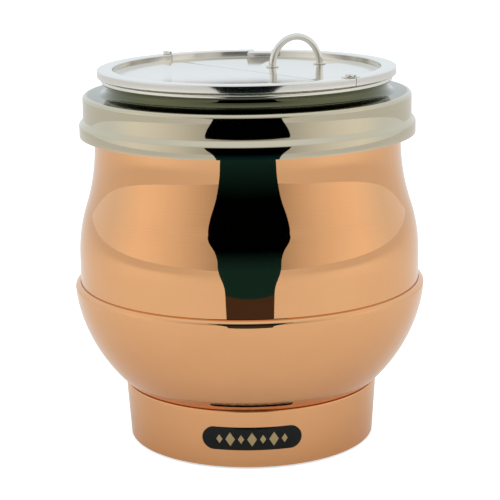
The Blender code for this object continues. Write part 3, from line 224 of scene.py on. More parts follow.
def smoothed(points, steps):
    """A smooth line through these points, with this many steps between each two."""
    line = []
    count = len(points)
    for index in range(count - 1):
        near = [Vector(points[min(max(index + shift, 0), count - 1)]) for shift in (-1, 0, 1, 2)]
        for step in range(steps):
            t = step / steps
            line.append(0.5 * (2.0 * near[1] + (near[2] - near[0]) * t
                               + (2.0 * near[0] - 5.0 * near[1] + 4.0 * near[2] - near[3]) * t ** 2
                               + (3.0 * near[1] - near[0] - 3.0 * near[2] + near[3]) * t ** 3))
    return [tuple(point) for point in line] + [tuple(points[-1])]


def out_of_wall(turn, distance, z):
    """A place whose Z points straight out of the body, at this distance from its axis."""
    return (Matrix.Rotation(turn, 4, "Z") @ Matrix.Translation((distance, 0.0, z))
            @ Matrix.Rotation(PI / 2.0, 4, "Y"))


def piece(name, shape, material, body, sharp=35.0):
    """Make a finished object of a bmesh, shade it, and let it ride on a body."""
    mesh = bpy.data.meshes.new(name)
    shape.to_mesh(mesh)
    shape.free()
    mesh.materials.append(material)
    mesh.shade_smooth()
    mesh.set_sharp_from_angle(angle=math.radians(sharp))
    made = bpy.data.objects.new(name, mesh)
    bpy.context.scene.collection.objects.link(made)
    if body is not None:
        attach(made, body)
    return made


def spun(section, closed=False, steps=None, place=None, sheet=None):
    """Spin a section of (radius, height) points round Z; an open one gets its sheet inwards."""
    shape = bmesh.new()
    points = [shape.verts.new((radius, 0.0, height)) for radius, height in section]
    edges = [shape.edges.new(pair) for pair in zip(points, points[1:])]
    if closed:
        edges.append(shape.edges.new((points[-1], points[0])))
    steps = steps or bpy.context.scene.kettle_sizes.spin_steps
    bmesh.ops.spin(shape, geom=points + edges, cent=(0.0, 0.0, 0.0), axis=(0.0, 0.0, 1.0),
                   angle=2.0 * PI, steps=steps, use_merge=True)
    bmesh.ops.remove_doubles(shape, verts=shape.verts, dist=1e-6)
    bmesh.ops.recalc_face_normals(shape, faces=shape.faces)
    if sheet is not None:
        outward = sum(face.calc_area() * face.normal.dot(face.calc_center_median() * Vector((1.0, 1.0, 0.0)))
                      for face in shape.faces)
        if outward < 0.0:
            bmesh.ops.reverse_faces(shape, faces=shape.faces)
        bmesh.ops.solidify(shape, geom=shape.faces, thickness=sheet)
    if place is not None:
        bmesh.ops.transform(shape, matrix=place, verts=shape.verts)
    return shape


def block(size, place, round_edge=0.0):
    """A block of this size at a place, with its edges rounded."""
    shape = bmesh.new()
    bmesh.ops.create_cube(shape, size=1.0, matrix=place @ Matrix.Diagonal((*size, 1.0)))
    if round_edge > 0.0:
        bmesh.ops.bevel(shape, geom=shape.edges, offset=round_edge, affect="EDGES", segments=3,
                        profile=0.5, material=-1)
    return shape


def rod(radius, span, place, steps=64):
    """A closed round bar along a place's Z."""
    shape = bmesh.new()
    bmesh.ops.create_cone(shape, cap_ends=True, segments=steps, radius1=radius, radius2=radius, depth=span,
                          matrix=place)
    return shape


def combined(shape, other, operation):
    """Unite a shape with another one, or cut the other one out of it."""
    whole = []
    for part in (shape, other):
        mesh = bpy.data.meshes.new("part")
        part.to_mesh(mesh)
        part.free()
        made = bpy.data.objects.new("part", mesh)
        bpy.context.scene.collection.objects.link(made)
        whole.append(made)
    boolean = whole[0].modifiers.new("combine", "BOOLEAN")
    boolean.object = whole[1]
    boolean.operation = operation
    boolean.solver = "EXACT"
    depsgraph = bpy.context.evaluated_depsgraph_get()
    result = bmesh.new()
    result.from_mesh(whole[0].evaluated_get(depsgraph).to_mesh())
    for made in whole:
        mesh = made.data
        bpy.data.objects.remove(made, do_unlink=True)
        bpy.data.meshes.remove(mesh)
    return result


# ------------------------------------------------------------------ materials

def add(tree, kind, inputs, **settings):
    """Add a node with its settings; each input takes a value or a link from a socket."""
    made = tree.nodes.new(kind)
    for name, value in settings.items():
        setattr(made, name, value)
    for name, value in inputs.items():
        if isinstance(value, bpy.types.NodeSocket):
            tree.links.new(value, made.inputs[name])
        else:
            made.inputs[name].default_value = value
    return made


def started(name):
    """A new material: itself, its tree, its shader and the place of each point on the object."""
    made = bpy.data.materials.new(name)
    made.use_nodes = True
    tree = made.node_tree
    place = add(tree, "ShaderNodeTexCoord", {}).outputs["Object"]
    return made, tree, tree.nodes["Principled BSDF"], place


def varied(tree, shader, factor, first, second, smoothest, roughest):
    """Colour and roughness that both follow one pattern."""
    # inputs 6 and 7 and output 2 of the Mix node are its colour sockets
    mixed = add(tree, "ShaderNodeMix", {0: factor, 6: (*first, 1.0), 7: (*second, 1.0)}, data_type="RGBA")
    tree.links.new(mixed.outputs[2], shader.inputs["Base Color"])
    spread = add(tree, "ShaderNodeMapRange", {"Value": factor, "To Min": smoothest, "To Max": roughest})
    tree.links.new(spread.outputs["Result"], shader.inputs["Roughness"])


def from_axis(tree, place):
    """Distance of each point from the object's upright axis."""
    flat = add(tree, "ShaderNodeVectorMath", {0: place, 1: (1.0, 1.0, 0.0)}, operation="MULTIPLY")
    return add(tree, "ShaderNodeVectorMath", {0: flat.outputs["Vector"]}, operation="LENGTH").outputs["Value"]


def polished_sheet(name, first, second, roughness, coat):
    """Spun sheet metal: fine rings from the wheel and a slow ripple that bends its reflections."""
    made, tree, shader, place = started(name)
    height = add(tree, "ShaderNodeSeparateXYZ", {"Vector": place})
    along = add(tree, "ShaderNodeMath", {0: from_axis(tree, place), 1: height.outputs["Z"]}, operation="ADD")
    # polishing rings about 0.9 mm apart: the real ones are finer, and would not show at this size
    rings = add(tree, "ShaderNodeTexNoise", {"W": along.outputs["Value"], "Scale": 1.0 / (0.9 * MM),
                                             "Detail": 3.0}, noise_dimensions="1D")
    # the haze left by the mop comes and goes over about 40 mm
    haze = add(tree, "ShaderNodeTexNoise", {"Vector": place, "Scale": 1.0 / (40.0 * MM), "Detail": 4.0})
    both = add(tree, "ShaderNodeMath", {0: rings.outputs["Fac"], 1: haze.outputs["Fac"]},
               operation="MULTIPLY")
    varied(tree, shader, both.outputs["Value"], first, second, roughness, roughness * 1.8)
    # sheet drawn over a former keeps a ripple about 60 mm long and some hundredths of a millimetre deep
    ripple = add(tree, "ShaderNodeTexNoise", {"Vector": place, "Scale": 1.0 / (60.0 * MM), "Detail": 1.0})
    broad = add(tree, "ShaderNodeBump", {"Height": ripple.outputs["Fac"], "Strength": 1.0,
                                         "Distance": 0.04 * MM})
    fine = add(tree, "ShaderNodeBump", {"Height": rings.outputs["Fac"], "Strength": 1.0,
                                        "Distance": 0.0008 * MM, "Normal": broad.outputs["Normal"]})
    tree.links.new(fine.outputs["Normal"], shader.inputs["Normal"])
    shader.inputs["Metallic"].default_value = 1.0
    shader.inputs["Coat Weight"].default_value = coat
    shader.inputs["Coat Roughness"].default_value = 0.04
    return made


def grained(name, first, second, grain, depth, smoothest, roughest, metallic=0.0, stretch=(1.0, 1.0, 1.0)):
    """A surface with one grain: colour, roughness and relief follow the same noise."""
    made, tree, shader, place = started(name)
    mapped = add(tree, "ShaderNodeMapping", {"Vector": place, "Scale": stretch})
    noise = add(tree, "ShaderNodeTexNoise", {"Vector": mapped.outputs["Vector"], "Scale": 1.0 / grain,
                                             "Detail": 4.0, "Roughness": 0.6})
    varied(tree, shader, noise.outputs["Fac"], first, second, smoothest, roughest)
    relief = add(tree, "ShaderNodeBump", {"Height": noise.outputs["Fac"], "Strength": 1.0, "Distance": depth})
    tree.links.new(relief.outputs["Normal"], shader.inputs["Normal"])
    shader.inputs["Metallic"].default_value = metallic
    return made


def lacquered_copper():
    """Spun copper, mopped to a mirror and lacquered: sharp reflections, warm, with faint rings."""
    colours = bpy.context.scene.kettle_colours
    found = bpy.data.materials.get("lacquered_copper")
    return found or polished_sheet("lacquered_copper", colours.copper, colours.copper_deep, 0.02, 0.12)


def collar_stainless():
    """Spun 18/8 stainless steel, mopped to a mirror, in a warm straw tone, with painted shade on its
    shoulder.
    """
    colours = bpy.context.scene.kettle_colours
    made = polished_sheet("warm_mopped_stainless_with_painted_shade", colours.steel, colours.steel_deep, 0.025, 0.0)
    # the shoulder is tinted a darker olive: a stand-in for the shade and reflections under the lid's edge,
    # which the steel itself doesn't have, so it stays dark from every side
    tree = made.node_tree
    shader = tree.nodes["Principled BSDF"]
    place = add(tree, "ShaderNodeTexCoord", {}).outputs["Object"]
    reach = COLLAR_WALL_R - COLLAR_EDGE_R
    painted_shade_mask = add(tree, "ShaderNodeMapRange", {"Value": from_axis(tree, place), "From Min": reach - 2.0 * MM,
                                             "From Max": reach + 1.0 * MM, "To Min": 1.0, "To Max": 0.0})
    mopped = shader.inputs["Base Color"].links[0].from_socket
    both = add(tree, "ShaderNodeMix", {0: painted_shade_mask.outputs["Result"], 6: mopped, 7: (*linear("#5f614a"), 1.0)},
               data_type="RGBA")
    tree.links.new(both.outputs[2], shader.inputs["Base Color"])
    return made


def polished_stainless():
    """Mirror-polished 18/10 stainless steel: paler and a little warmer than chrome."""
    colours = bpy.context.scene.kettle_colours
    found = bpy.data.materials.get("polished_stainless")
    return found or polished_sheet("polished_stainless", colours.lid_steel, colours.lid_steel_deep, 0.03, 0.0)


# ------------------------------------------------------------------ sections of the body

def skirt_radius(z):
    """Outer radius of the base skirt at a height."""
    rise = (z - SKIRT_BOTTOM_Z) / (SKIRT_TOP_Z - SKIRT_BOTTOM_Z)
    return SKIRT_BOTTOM_R + (SKIRT_TOP_R - SKIRT_BOTTOM_R) * rise


def shell_radius(z):
    """Outer radius of the upper shell above the bead: a belly arc that runs into the neck's."""
    inset = BELLY_R - NECK_R
    belly_arc = (NECK_ABOVE_BELLY ** 2 + inset ** 2) / (2.0 * inset) - NECK_ARC_R
    join = NECK_Z - NECK_ABOVE_BELLY * NECK_ARC_R / (NECK_ARC_R + belly_arc)
    if z >= join:
        return NECK_R + NECK_ARC_R - math.sqrt(NECK_ARC_R ** 2 - (z - NECK_Z) ** 2)
    return BELLY_R - belly_arc + math.sqrt(belly_arc ** 2 - (z - BELLY_Z) ** 2)


def shell_section():
    """Neck and belly from the top down, then the straight part that the bowl's rim closes round."""
    count = 72
    section = []
    for index in range(count + 1):
        z = SHELL_TOP_Z + (BELLY_Z - SHELL_TOP_Z) * index / count
        section.append((shell_radius(z), z))
    count = 12
    section += [(BELLY_R, BELLY_Z + (SHELL_LOW_Z - BELLY_Z) * index / count) for index in range(1, count + 1)]
    return section


def bowl_section():
    """Rounded rim round the shell, the bowl's full curve, and its floor with the stud's hole."""
    floor_r = SKIRT_TOP_R - BOWL_FLOOR_IN
    floor_z = SKIRT_TOP_Z - BOWL_FLOOR_DROP
    rim_r = BELLY_R + GAP
    points = 20
    section = []
    for index in range(points + 1):
        turn = PI / 2.0 * (1.0 - index / points)
        section.append((rim_r + (BEAD_R - rim_r) * math.cos(turn),
                        BOWL_TOP_Z + BEAD_HEIGHT * math.sin(turn)))
    corners = ((BEAD_R, BOWL_TOP_Z), (BEAD_R - BOWL_WALL[0], BOWL_TOP_Z - BOWL_WALL[1]),
               (BEAD_R - BOWL_HIP[0], SKIRT_TOP_Z + BOWL_HIP[1]),
               (SKIRT_TOP_R - BOWL_SEAT_IN, SKIRT_TOP_Z + GAP))
    count = 60
    for index in range(1, count + 1):
        t = index / count
        weights = ((1.0 - t) ** 3, 3.0 * (1.0 - t) ** 2 * t, 3.0 * (1.0 - t) * t * t, t ** 3)
        section.append(tuple(sum(w * p[axis] for w, p in zip(weights, corners)) for axis in (0, 1)))
    section += [(floor_r, floor_z), (floor_r - 2.0 * BOWL_FLOOR_DISH, floor_z - BOWL_FLOOR_DISH),
                (STUD_HOLE_R, floor_z - BOWL_FLOOR_DISH)]
    return section


class KETTLE_OT_copper_body(bpy.types.Operator):
    """Spin the copper shell, bowl and base skirt"""

    bl_idname = "kettle.copper_body"
    bl_label = "Copper Body"

    def execute(self, context):
        sizes = context.scene.kettle_sizes
        copper = lacquered_copper()
        shell = piece("copper_shell", spun(shell_section(), sheet=sizes.shell_sheet), copper, "base")
        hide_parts("upper_shell")
        bowl_shape = spun(bowl_section(), sheet=sizes.shell_sheet)
        hole_at = Matrix.Translation((0.0, WIRE_HOLE_OUT, SKIRT_TOP_Z - CUTTER / 2.0))
        wire_hole = rod(WIRE_HOLE_R, CUTTER, hole_at)
        bowl = piece("copper_bowl", combined(bowl_shape, wire_hole, "DIFFERENCE"), copper, "base")
        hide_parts("lower_bowl")
        lip = SKIRT_LIP
        section = [(SKIRT_TOP_R - lip, SKIRT_TOP_Z - 0.85 * lip)]
        section += arc((SKIRT_TOP_R - 0.7 * lip, SKIRT_TOP_Z - 1.1 * lip), 0.7 * lip, 0.6 * PI, 0.0, 8)
        count = 16
        for index in range(1, count + 1):
            z = SKIRT_TOP_Z - 1.4 * lip + (SKIRT_BOTTOM_Z - SKIRT_TOP_Z + 1.4 * lip) * index / count
            section.append((skirt_radius(z), z))
        skirt_shape = spun(section, sheet=sizes.skirt_sheet)
        for turn, radius in WALL_HOLES:
            hole = rod(radius, 12.0 * MM, out_of_wall(turn, skirt_radius(FITTINGS_Z), FITTINGS_Z))
            skirt_shape = combined(skirt_shape, hole, "DIFFERENCE")
        skirt = piece("copper_skirt", skirt_shape, copper, "base")
        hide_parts("base_skirt")
        return {"FINISHED"}


class KETTLE_OT_collar(bpy.types.Operator):
    """Spin the stainless collar that covers the shell's top"""

    bl_idname = "kettle.collar"
    bl_label = "Collar"

    def execute(self, context):
        wall_low = COLLAR_FLAT_Z - COLLAR_WALL_HEIGHT
        roll = 0.9 * MM                 # radius that the bending tool leaves at the bevel
        section = [(COLLAR_NECK_R, COLLAR_TOP_Z)]
        section += arc((COLLAR_NECK_R + COLLAR_COVE_R, COLLAR_FLAT_Z + COLLAR_COVE_R), COLLAR_COVE_R,
                       PI, 1.5 * PI, 12)
        section += arc((COLLAR_WALL_R - COLLAR_EDGE_R, COLLAR_FLAT_Z - COLLAR_EDGE_R), COLLAR_EDGE_R,
                       PI / 2.0, 0.0, 14)
        section += [(COLLAR_WALL_R, wall_low + roll), (COLLAR_WALL_R + 0.3 * roll, wall_low + 0.3 * roll),
                    (COLLAR_WALL_R + roll, wall_low - 0.7 * roll),
                    (COLLAR_BAND_R - roll, wall_low - COLLAR_BEVEL + roll),
                    (COLLAR_BAND_R - 0.35 * roll, wall_low - COLLAR_BEVEL + 0.25 * roll),
                    (COLLAR_BAND_R, wall_low - COLLAR_BEVEL - 0.7 * roll), (COLLAR_BAND_R, COLLAR_LOW_Z)]
        shape = spun(section, sheet=context.scene.kettle_sizes.collar_sheet)
        made = piece("steel_collar", shape, collar_stainless(), "collar_ring")
        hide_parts("collar")
        return {"FINISHED"}


class KETTLE_OT_pot_and_well(bpy.types.Operator):
    """Spin the lift-out pot and the water well that it hangs in"""

    bl_idname = "kettle.pot_and_well"
    bl_label = "Pot and Well"

    def execute(self, context):
        sheet = context.scene.kettle_sizes.vessel_sheet
        bead_z = POT_RIM_Z - POT_BEAD_R
        corner = (POT_R - POT_CORNER_R, POT_FLOOR_Z + POT_CORNER_R)
        section = [(0.0, POT_FLOOR_Z + sheet)]
        section += arc(corner, POT_CORNER_R - sheet, -PI / 2.0, 0.0, 14)
        section += [(POT_R - sheet, bead_z), (POT_R - sheet + 0.4 * MM, bead_z + 1.8 * MM),
                    (POT_R - sheet + 1.6 * MM, POT_RIM_Z - 0.2 * MM)]
        section += arc((POT_OUT_R - POT_BEAD_R, bead_z), POT_BEAD_R, PI / 2.0, -PI / 2.0, 20)
        section += [(POT_R + 0.6 * MM, bead_z - POT_BEAD_R), (POT_R, bead_z - POT_BEAD_R - 0.7 * MM)]
        section += arc(corner, POT_CORNER_R, 0.0, -PI / 2.0, 14)
        section += [(0.0, POT_FLOOR_Z)]
        pot = piece("steel_pot", spun(section), polished_stainless(), "pot")
        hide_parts("soup_pot")
        # drawn steel with a mill finish: a soft grey with grain round the wall
        drawn = grained("mill_finish_steel", linear("#b9b8b3"), linear("#a2a19b"), 2.5 * MM, 0.01 * MM,
                        0.22, 0.34, 1.0, (1.0, 1.0, 8.0))
        corner = (WELL_R - WELL_CORNER_R, WELL_FLOOR_Z + WELL_CORNER_R)
        flange_z = WELL_TOP_Z
        section = [(WELL_FLANGE_R, flange_z - sheet), (WELL_R, flange_z - sheet)]
        section += arc(corner, WELL_CORNER_R, 0.0, -PI / 2.0, 14) + [(0.0, WELL_FLOOR_Z)]
        well = piece("steel_well", spun(section, sheet=sheet), drawn, "base")
        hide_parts("water_vessel")
        return {"FINISHED"}


# ------------------------------------------------------------------ lid

def lid_section():
    """Recessed disc, hollow ring with rolled edges, and the hem that rests on the pot's bead."""
    sheet = bpy.context.scene.kettle_sizes.lid_sheet
    edge = LID_EDGE_R
    small = 0.4 * MM
    inner_top = (LID_INNER_R + edge, LID_TOP_Z - edge)
    outer_top = (LID_R - edge, LID_TOP_Z - edge)
    outer_low = (LID_R - edge, LID_BOTTOM_Z + edge)
    section = [(0.0, LID_DISC_Z)]
    section += arc((LID_INNER_R - small, LID_DISC_Z + small), small, -PI / 2.0, 0.0, 4)
    section += arc(inner_top, edge, PI, PI / 2.0, 6) + arc(outer_top, edge, PI / 2.0, 0.0, 6)
    section += arc(outer_low, edge, 0.0, -PI / 2.0, 6)
    section += [(LID_R - LID_HEM, LID_BOTTOM_Z), (LID_R - LID_HEM, LID_BOTTOM_Z + sheet),
                (LID_R - sheet, LID_BOTTOM_Z + sheet), (LID_R - sheet, LID_TOP_Z - sheet),
                (LID_INNER_R + sheet, LID_TOP_Z - sheet), (LID_INNER_R + sheet, LID_BOTTOM_Z),
                (0.0, LID_BOTTOM_Z)]
    return section


def parted(shape, side):
    """Cut a lid along its hinge line; side 1 keeps the flap and -1 the fixed half."""
    facing = Vector((math.cos(HINGE_TURN), math.sin(HINGE_TURN), 0.0))
    slit = bpy.context.scene.kettle_sizes.lid_slit
    line = facing * (HINGE_OFFSET + side * slit / 2.0)
    geometry = shape.verts[:] + shape.edges[:] + shape.faces[:]
    cut = bmesh.ops.bisect_plane(shape, geom=geometry, dist=1e-7, plane_co=line, plane_no=facing * side,
                                 clear_inner=True)
    edges = [item for item in cut["geom_cut"] if isinstance(item, bmesh.types.BMEdge)]
    bmesh.ops.holes_fill(shape, edges=edges, sides=0)
    bmesh.ops.recalc_face_normals(shape, faces=shape.faces)
    return shape


def notched(shape):
    """Step the lid's ring inwards over the ladle notch."""
    sheet = bpy.context.scene.kettle_sizes.lid_sheet
    turn = Matrix.Rotation(NOTCH_TURN, 4, "Z")
    middle_z = (LID_TOP_Z + LID_BOTTOM_Z) / 2.0
    height = LID_TOP_Z - LID_BOTTOM_Z
    near = LID_INNER_R - NOTCH_DEPTH
    floor = LID_R - NOTCH_DEPTH
    step = block((floor - near, 2.0 * (NOTCH_HALF + NOTCH_RIM), height),
                 turn @ Matrix.Translation(((near + floor) / 2.0, 0.0, middle_z)), 0.7 * MM)
    shape = combined(shape, step, "UNION")
    reach = LID_R - LID_EDGE_R - floor
    for side in (-1.0, 1.0):
        cheek = block((reach + sheet, sheet, height - 0.02 * MM), turn @ Matrix.Translation(
            (floor + (reach - sheet) / 2.0, side * (NOTCH_HALF + sheet / 2.0), middle_z)))
        shape = combined(shape, cheek, "UNION")
    mouth = block((2.0 * NOTCH_DEPTH, 2.0 * NOTCH_HALF, 3.0 * height),
                  turn @ Matrix.Translation((floor + NOTCH_DEPTH, 0.0, middle_z)))
    return combined(shape, mouth, "DIFFERENCE")


def handle_feet():
    """Plan position of the handle's two legs, left first."""
    along = Vector((math.cos(HANDLE_TURN), math.sin(HANDLE_TURN), 0.0)) * HANDLE_HALF_SPAN
    return (HANDLE_CENTRE - along, HANDLE_CENTRE + along)


class KETTLE_OT_lid(bpy.types.Operator):
    """Make the lid's fixed half and its hinged flap"""

    bl_idname = "kettle.lid"
    bl_label = "Lid"

    def execute(self, context):
        steel = polished_stainless()
        fixed = piece("steel_lid_fixed", parted(spun(lid_section()), -1.0), steel, "lid")
        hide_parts("lid_fixed_half")
        shape = parted(notched(spun(lid_section())), 1.0)
        clear = context.scene.kettle_sizes.handle_rod + GAP
        for foot in handle_feet():
            hole = rod(clear, CUTTER, Matrix.Translation(foot + Vector((0.0, 0.0, LID_DISC_Z))))
            shape = combined(shape, hole, "DIFFERENCE")
        flap = piece("steel_lid_flap", shape, steel, "flap")
        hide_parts("lid_flap")
        return {"FINISHED"}


class KETTLE_OT_handle(bpy.types.Operator):
    """Bend the handle's rod and seat its two washers"""

    bl_idname = "kettle.handle"
    bl_label = "Handle"

    def execute(self, context):
        rod_r = context.scene.kettle_sizes.handle_rod
        along = Vector((math.cos(HANDLE_TURN), math.sin(HANDLE_TURN), 0.0)) * HANDLE_HALF_SPAN
        base = HANDLE_CENTRE + Vector((0.0, 0.0, LID_DISC_Z))
        count = 56
        route = [handle_feet()[0] + Vector((0.0, 0.0, HANDLE_FOOT_Z))]
        for index in range(count + 1):
            turn = PI * (1.0 - index / count)
            route.append(base + along * math.cos(turn) + Vector((0.0, 0.0, HANDLE_RISE * math.sin(turn))))
        route.append(handle_feet()[1] + Vector((0.0, 0.0, HANDLE_FOOT_Z)))
        drawn = bpy.data.curves.new("handle_line", "CURVE")
        drawn.dimensions = "3D"
        drawn.bevel_depth = rod_r
        drawn.bevel_resolution = 8
        drawn.use_fill_caps = True
        line = drawn.splines.new("POLY")
        line.points.add(len(route) - 1)
        for point, place in zip(line.points, route):
            point.co = (*place, 1.0)
        holder = bpy.data.objects.new("handle_line", drawn)
        context.scene.collection.objects.link(holder)
        shape = bmesh.new()
        shape.from_mesh(holder.evaluated_get(context.evaluated_depsgraph_get()).to_mesh())
        bpy.data.objects.remove(holder, do_unlink=True)
        bmesh.ops.remove_doubles(shape, verts=shape.verts, dist=1e-6)
        bmesh.ops.recalc_face_normals(shape, faces=shape.faces)
        steel = polished_stainless()
        made = piece("steel_handle", shape, steel, "flap", 50.0)
        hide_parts("lid_handle")
        for side, foot in zip(("left", "right"), handle_feet()):
            low, high = (corner[2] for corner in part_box(f"handle_washer_{side}"))
            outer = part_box(f"handle_washer_{side}")[1][0] - foot.x
            bore = rod_r + 1.5 * GAP
            edge = 0.35 * MM
            section = arc((outer - edge, high - edge), edge, PI / 2.0, 0.0, 4)
            section += [(outer, low), (bore, low)] + arc((bore + edge, high - edge), edge, PI, PI / 2.0, 4)
            shape = spun(section, True, 64, Matrix.Translation(foot))
            washer = piece(f"steel_washer_{side}", shape, steel, "flap")
            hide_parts(f"handle_washer_{side}")
        return {"FINISHED"}


# ------------------------------------------------------------------ badge

def wrapped(shape, stand_off):
    """Bend a flat shape in the XZ plane round the skirt; its Y is its height above the skirt."""
    for vert in shape.verts:
        radius = skirt_radius(BADGE_Z + vert.co.z) + stand_off + vert.co.y
        turn = vert.co.x / skirt_radius(BADGE_Z)
        vert.co = Vector((radius * math.sin(turn), -radius * math.cos(turn), BADGE_Z + vert.co.z))
    bmesh.ops.recalc_face_normals(shape, faces=shape.faces)
    return shape


def raised(outlines, thickness, edge):
    """Plates of these flat outlines, cut into narrow strips so that they can bend, with a soft edge."""
    shape = bmesh.new()
    for outline in outlines:
        shape.faces.new([shape.verts.new((x, 0.0, z)) for x, z in outline])
    lifted = bmesh.ops.extrude_face_region(shape, geom=shape.faces[:])
    moved = [item for item in lifted["geom"] if isinstance(item, bmesh.types.BMVert)]
    bmesh.ops.translate(shape, verts=moved, vec=(0.0, thickness, 0.0))
    bmesh.ops.recalc_face_normals(shape, faces=shape.faces)
    rim = [line for line in shape.edges
           if all(abs(vert.co.y - thickness) < 1e-7 for vert in line.verts)]
    bmesh.ops.bevel(shape, geom=rim, offset=edge, affect="EDGES", segments=2, profile=0.5, material=-1)
    reach = max(vert.co.x for vert in shape.verts)
    strip = 2.0 * MM
    count = int(reach / strip)
    for index in range(-count, count + 1):
        geometry = shape.verts[:] + shape.edges[:] + shape.faces[:]
        bmesh.ops.bisect_plane(shape, geom=geometry, dist=1e-6, plane_co=(index * strip, 0.0, 0.0),
                               plane_no=(1.0, 0.0, 0.0))
    return shape


class KETTLE_OT_badge(bpy.types.Operator):
    """Make the black badge and its raised lozenge motif"""

    bl_idname = "kettle.badge"
    bl_label = "Badge"

    def execute(self, context):
        sizes = context.scene.kettle_sizes
        colours = context.scene.kettle_colours
        radius = sizes.badge_height / 2.0
        straight = sizes.badge_length / 2.0 - radius
        outline = arc((straight, 0.0), radius, -PI / 2.0, PI / 2.0, 24)
        outline += arc((-straight, 0.0), radius, PI / 2.0, 1.5 * PI, 24)
        # stove enamel: deep gloss black with a slight orange peel about 1 mm across
        enamel = grained("stove_enamel", colours.enamel, linear("#090f0e"), 1.0 * MM, 0.002 * MM, 0.10, 0.16)
        enamel.node_tree.nodes["Principled BSDF"].inputs["Specular IOR Level"].default_value = 0.2
        badge = piece("black_badge", wrapped(raised([outline], BADGE_SHEET, 0.25 * MM), GAP), enamel, "base")
        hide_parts("name_badge")
        pitch = 10.4 * MM
        lozenges = []
        for index in range(-3, 4):
            tall = 7.2 * MM if index % 2 == 0 else 4.6 * MM
            wide = 4.6 * MM if index % 2 == 0 else 3.0 * MM
            middle = index * pitch
            lozenges.append([(middle + wide, 0.0), (middle, tall), (middle - wide, 0.0), (middle, -tall)])
        # brushed champagne-coloured brass foil: a soft sheen with an upright grain 0.4 mm apart
        foil = grained("brushed_champagne_foil", colours.champagne, linear("#9c8b66"), 0.4 * MM, 0.003 * MM,
                       0.30, 0.42, 0.85, (1.0, 1.0, 0.1))
        shape = wrapped(raised(lozenges, 0.3 * MM, 0.08 * MM), GAP + BADGE_SHEET)
        piece("badge_motif", shape, foil, "base")
        return {"FINISHED"}


# ------------------------------------------------------------------ rear fittings and inner pieces

def finer(node, name, material, body, edge, sharp=35.0):
    """A copy of a fixed node with its facets joined and its edges rounded."""
    shape = bmesh.new()
    shape.from_mesh(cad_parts[node].data)
    bmesh.ops.remove_doubles(shape, verts=shape.verts, dist=2e-6)
    bmesh.ops.dissolve_limit(shape, angle_limit=math.radians(1.0), verts=shape.verts, edges=shape.edges)
    bmesh.ops.recalc_face_normals(shape, faces=shape.faces)
    corners = [line for line in shape.edges
               if line.is_manifold and line.calc_face_angle() > math.radians(sharp)]
    if edge > 0.0:
        bmesh.ops.bevel(shape, geom=corners, offset=edge, affect="EDGES", segments=2, profile=0.5,
                        material=-1, clamp_overlap=True)
    made = piece(name, shape, material, body, sharp)
    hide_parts(node)
    return made


class KETTLE_OT_hinges(bpy.types.Operator):
    """Round the edges of the lid's hinges and nuts"""

    bl_idname = "kettle.hinges"
    bl_label = "Hinges and Nuts"

    def execute(self, context):
        steel = polished_stainless()
        for side in ("left", "right"):
            finer(f"hinge_leaf_fixed_{side}", f"fixed_leaf_{side}", steel, "lid",
                  0.12 * MM)
            finer(f"hinge_leaf_flap_{side}", f"flap_leaf_{side}", steel, "flap",
                  0.12 * MM)
            finer(f"handle_nut_{side}", f"steel_nut_{side}", steel, "flap", 0.3 * MM)
        return {"FINISHED"}


class KETTLE_OT_rear_fittings(bpy.types.Operator):
    """Make the control knob, its dial marks, the lamp's lens and the cable gland"""

    bl_idname = "kettle.rear_fittings"
    bl_label = "Rear Fittings"

    def execute(self, context):
        colours = context.scene.kettle_colours
        # phenolic moulding: near-black with a fine spark-eroded grain of about 0.3 mm
        phenolic = grained("moulded_phenolic", colours.plastic, linear("#212124"), 0.3 * MM, 0.01 * MM,
                           0.38, 0.52)
        finer("control_knob", "control_grip", phenolic, "knob", 0.5 * MM)
        finer("cable_gland", "cord_gland", phenolic, "base", 0.4 * MM)
        # clear polycarbonate tinted amber: glossy, lit through
        lens = grained("amber_polycarbonate", colours.lens, linear("#c25f10"), 2.0 * MM, 0.005 * MM,
                       0.06, 0.12)
        lens.node_tree.nodes["Principled BSDF"].inputs["Transmission Weight"].default_value = 0.35
        finer("lamp_lens", "amber_lens", lens, "base", 0.0)
        # white screen print on the dial, one bar for each step of heat
        ink = grained("white_screen_print", linear("#e8e8e4"), linear("#d9d9d4"), 0.5 * MM, 0.002 * MM,
                      0.5, 0.6)
        shape = bmesh.new()
        face = skirt_radius(FITTINGS_Z) + GAP + DIAL_SHEET
        for index in range(DIAL_MARKS):
            turn = math.radians(-135.0 + 270.0 * index / (DIAL_MARKS - 1))
            up, across = DIAL_MARKS_R * math.cos(turn), DIAL_MARKS_R * math.sin(turn)
            reach = math.sqrt((skirt_radius(FITTINGS_Z + up) + GAP + DIAL_SHEET) ** 2 - across ** 2)
            place = (Matrix.Rotation(KNOB_TURN, 4, "Z") @ Matrix.Translation((reach, across, FITTINGS_Z + up))
                     @ Matrix.Rotation(math.asin(across / face), 4, "Z") @ Matrix.Rotation(-turn, 4, "X"))
            width = (0.5 + 0.09 * index) * MM
            bmesh.ops.create_cube(shape, size=1.0,
                                  matrix=place @ Matrix.Diagonal((0.1 * MM, width, 3.2 * MM, 1.0)))
        bmesh.ops.bevel(shape, geom=shape.edges, offset=0.03 * MM, affect="EDGES", segments=1, profile=0.5,
                        material=-1)
        piece("dial_marks", shape, ink, "base")
        return {"FINISHED"}


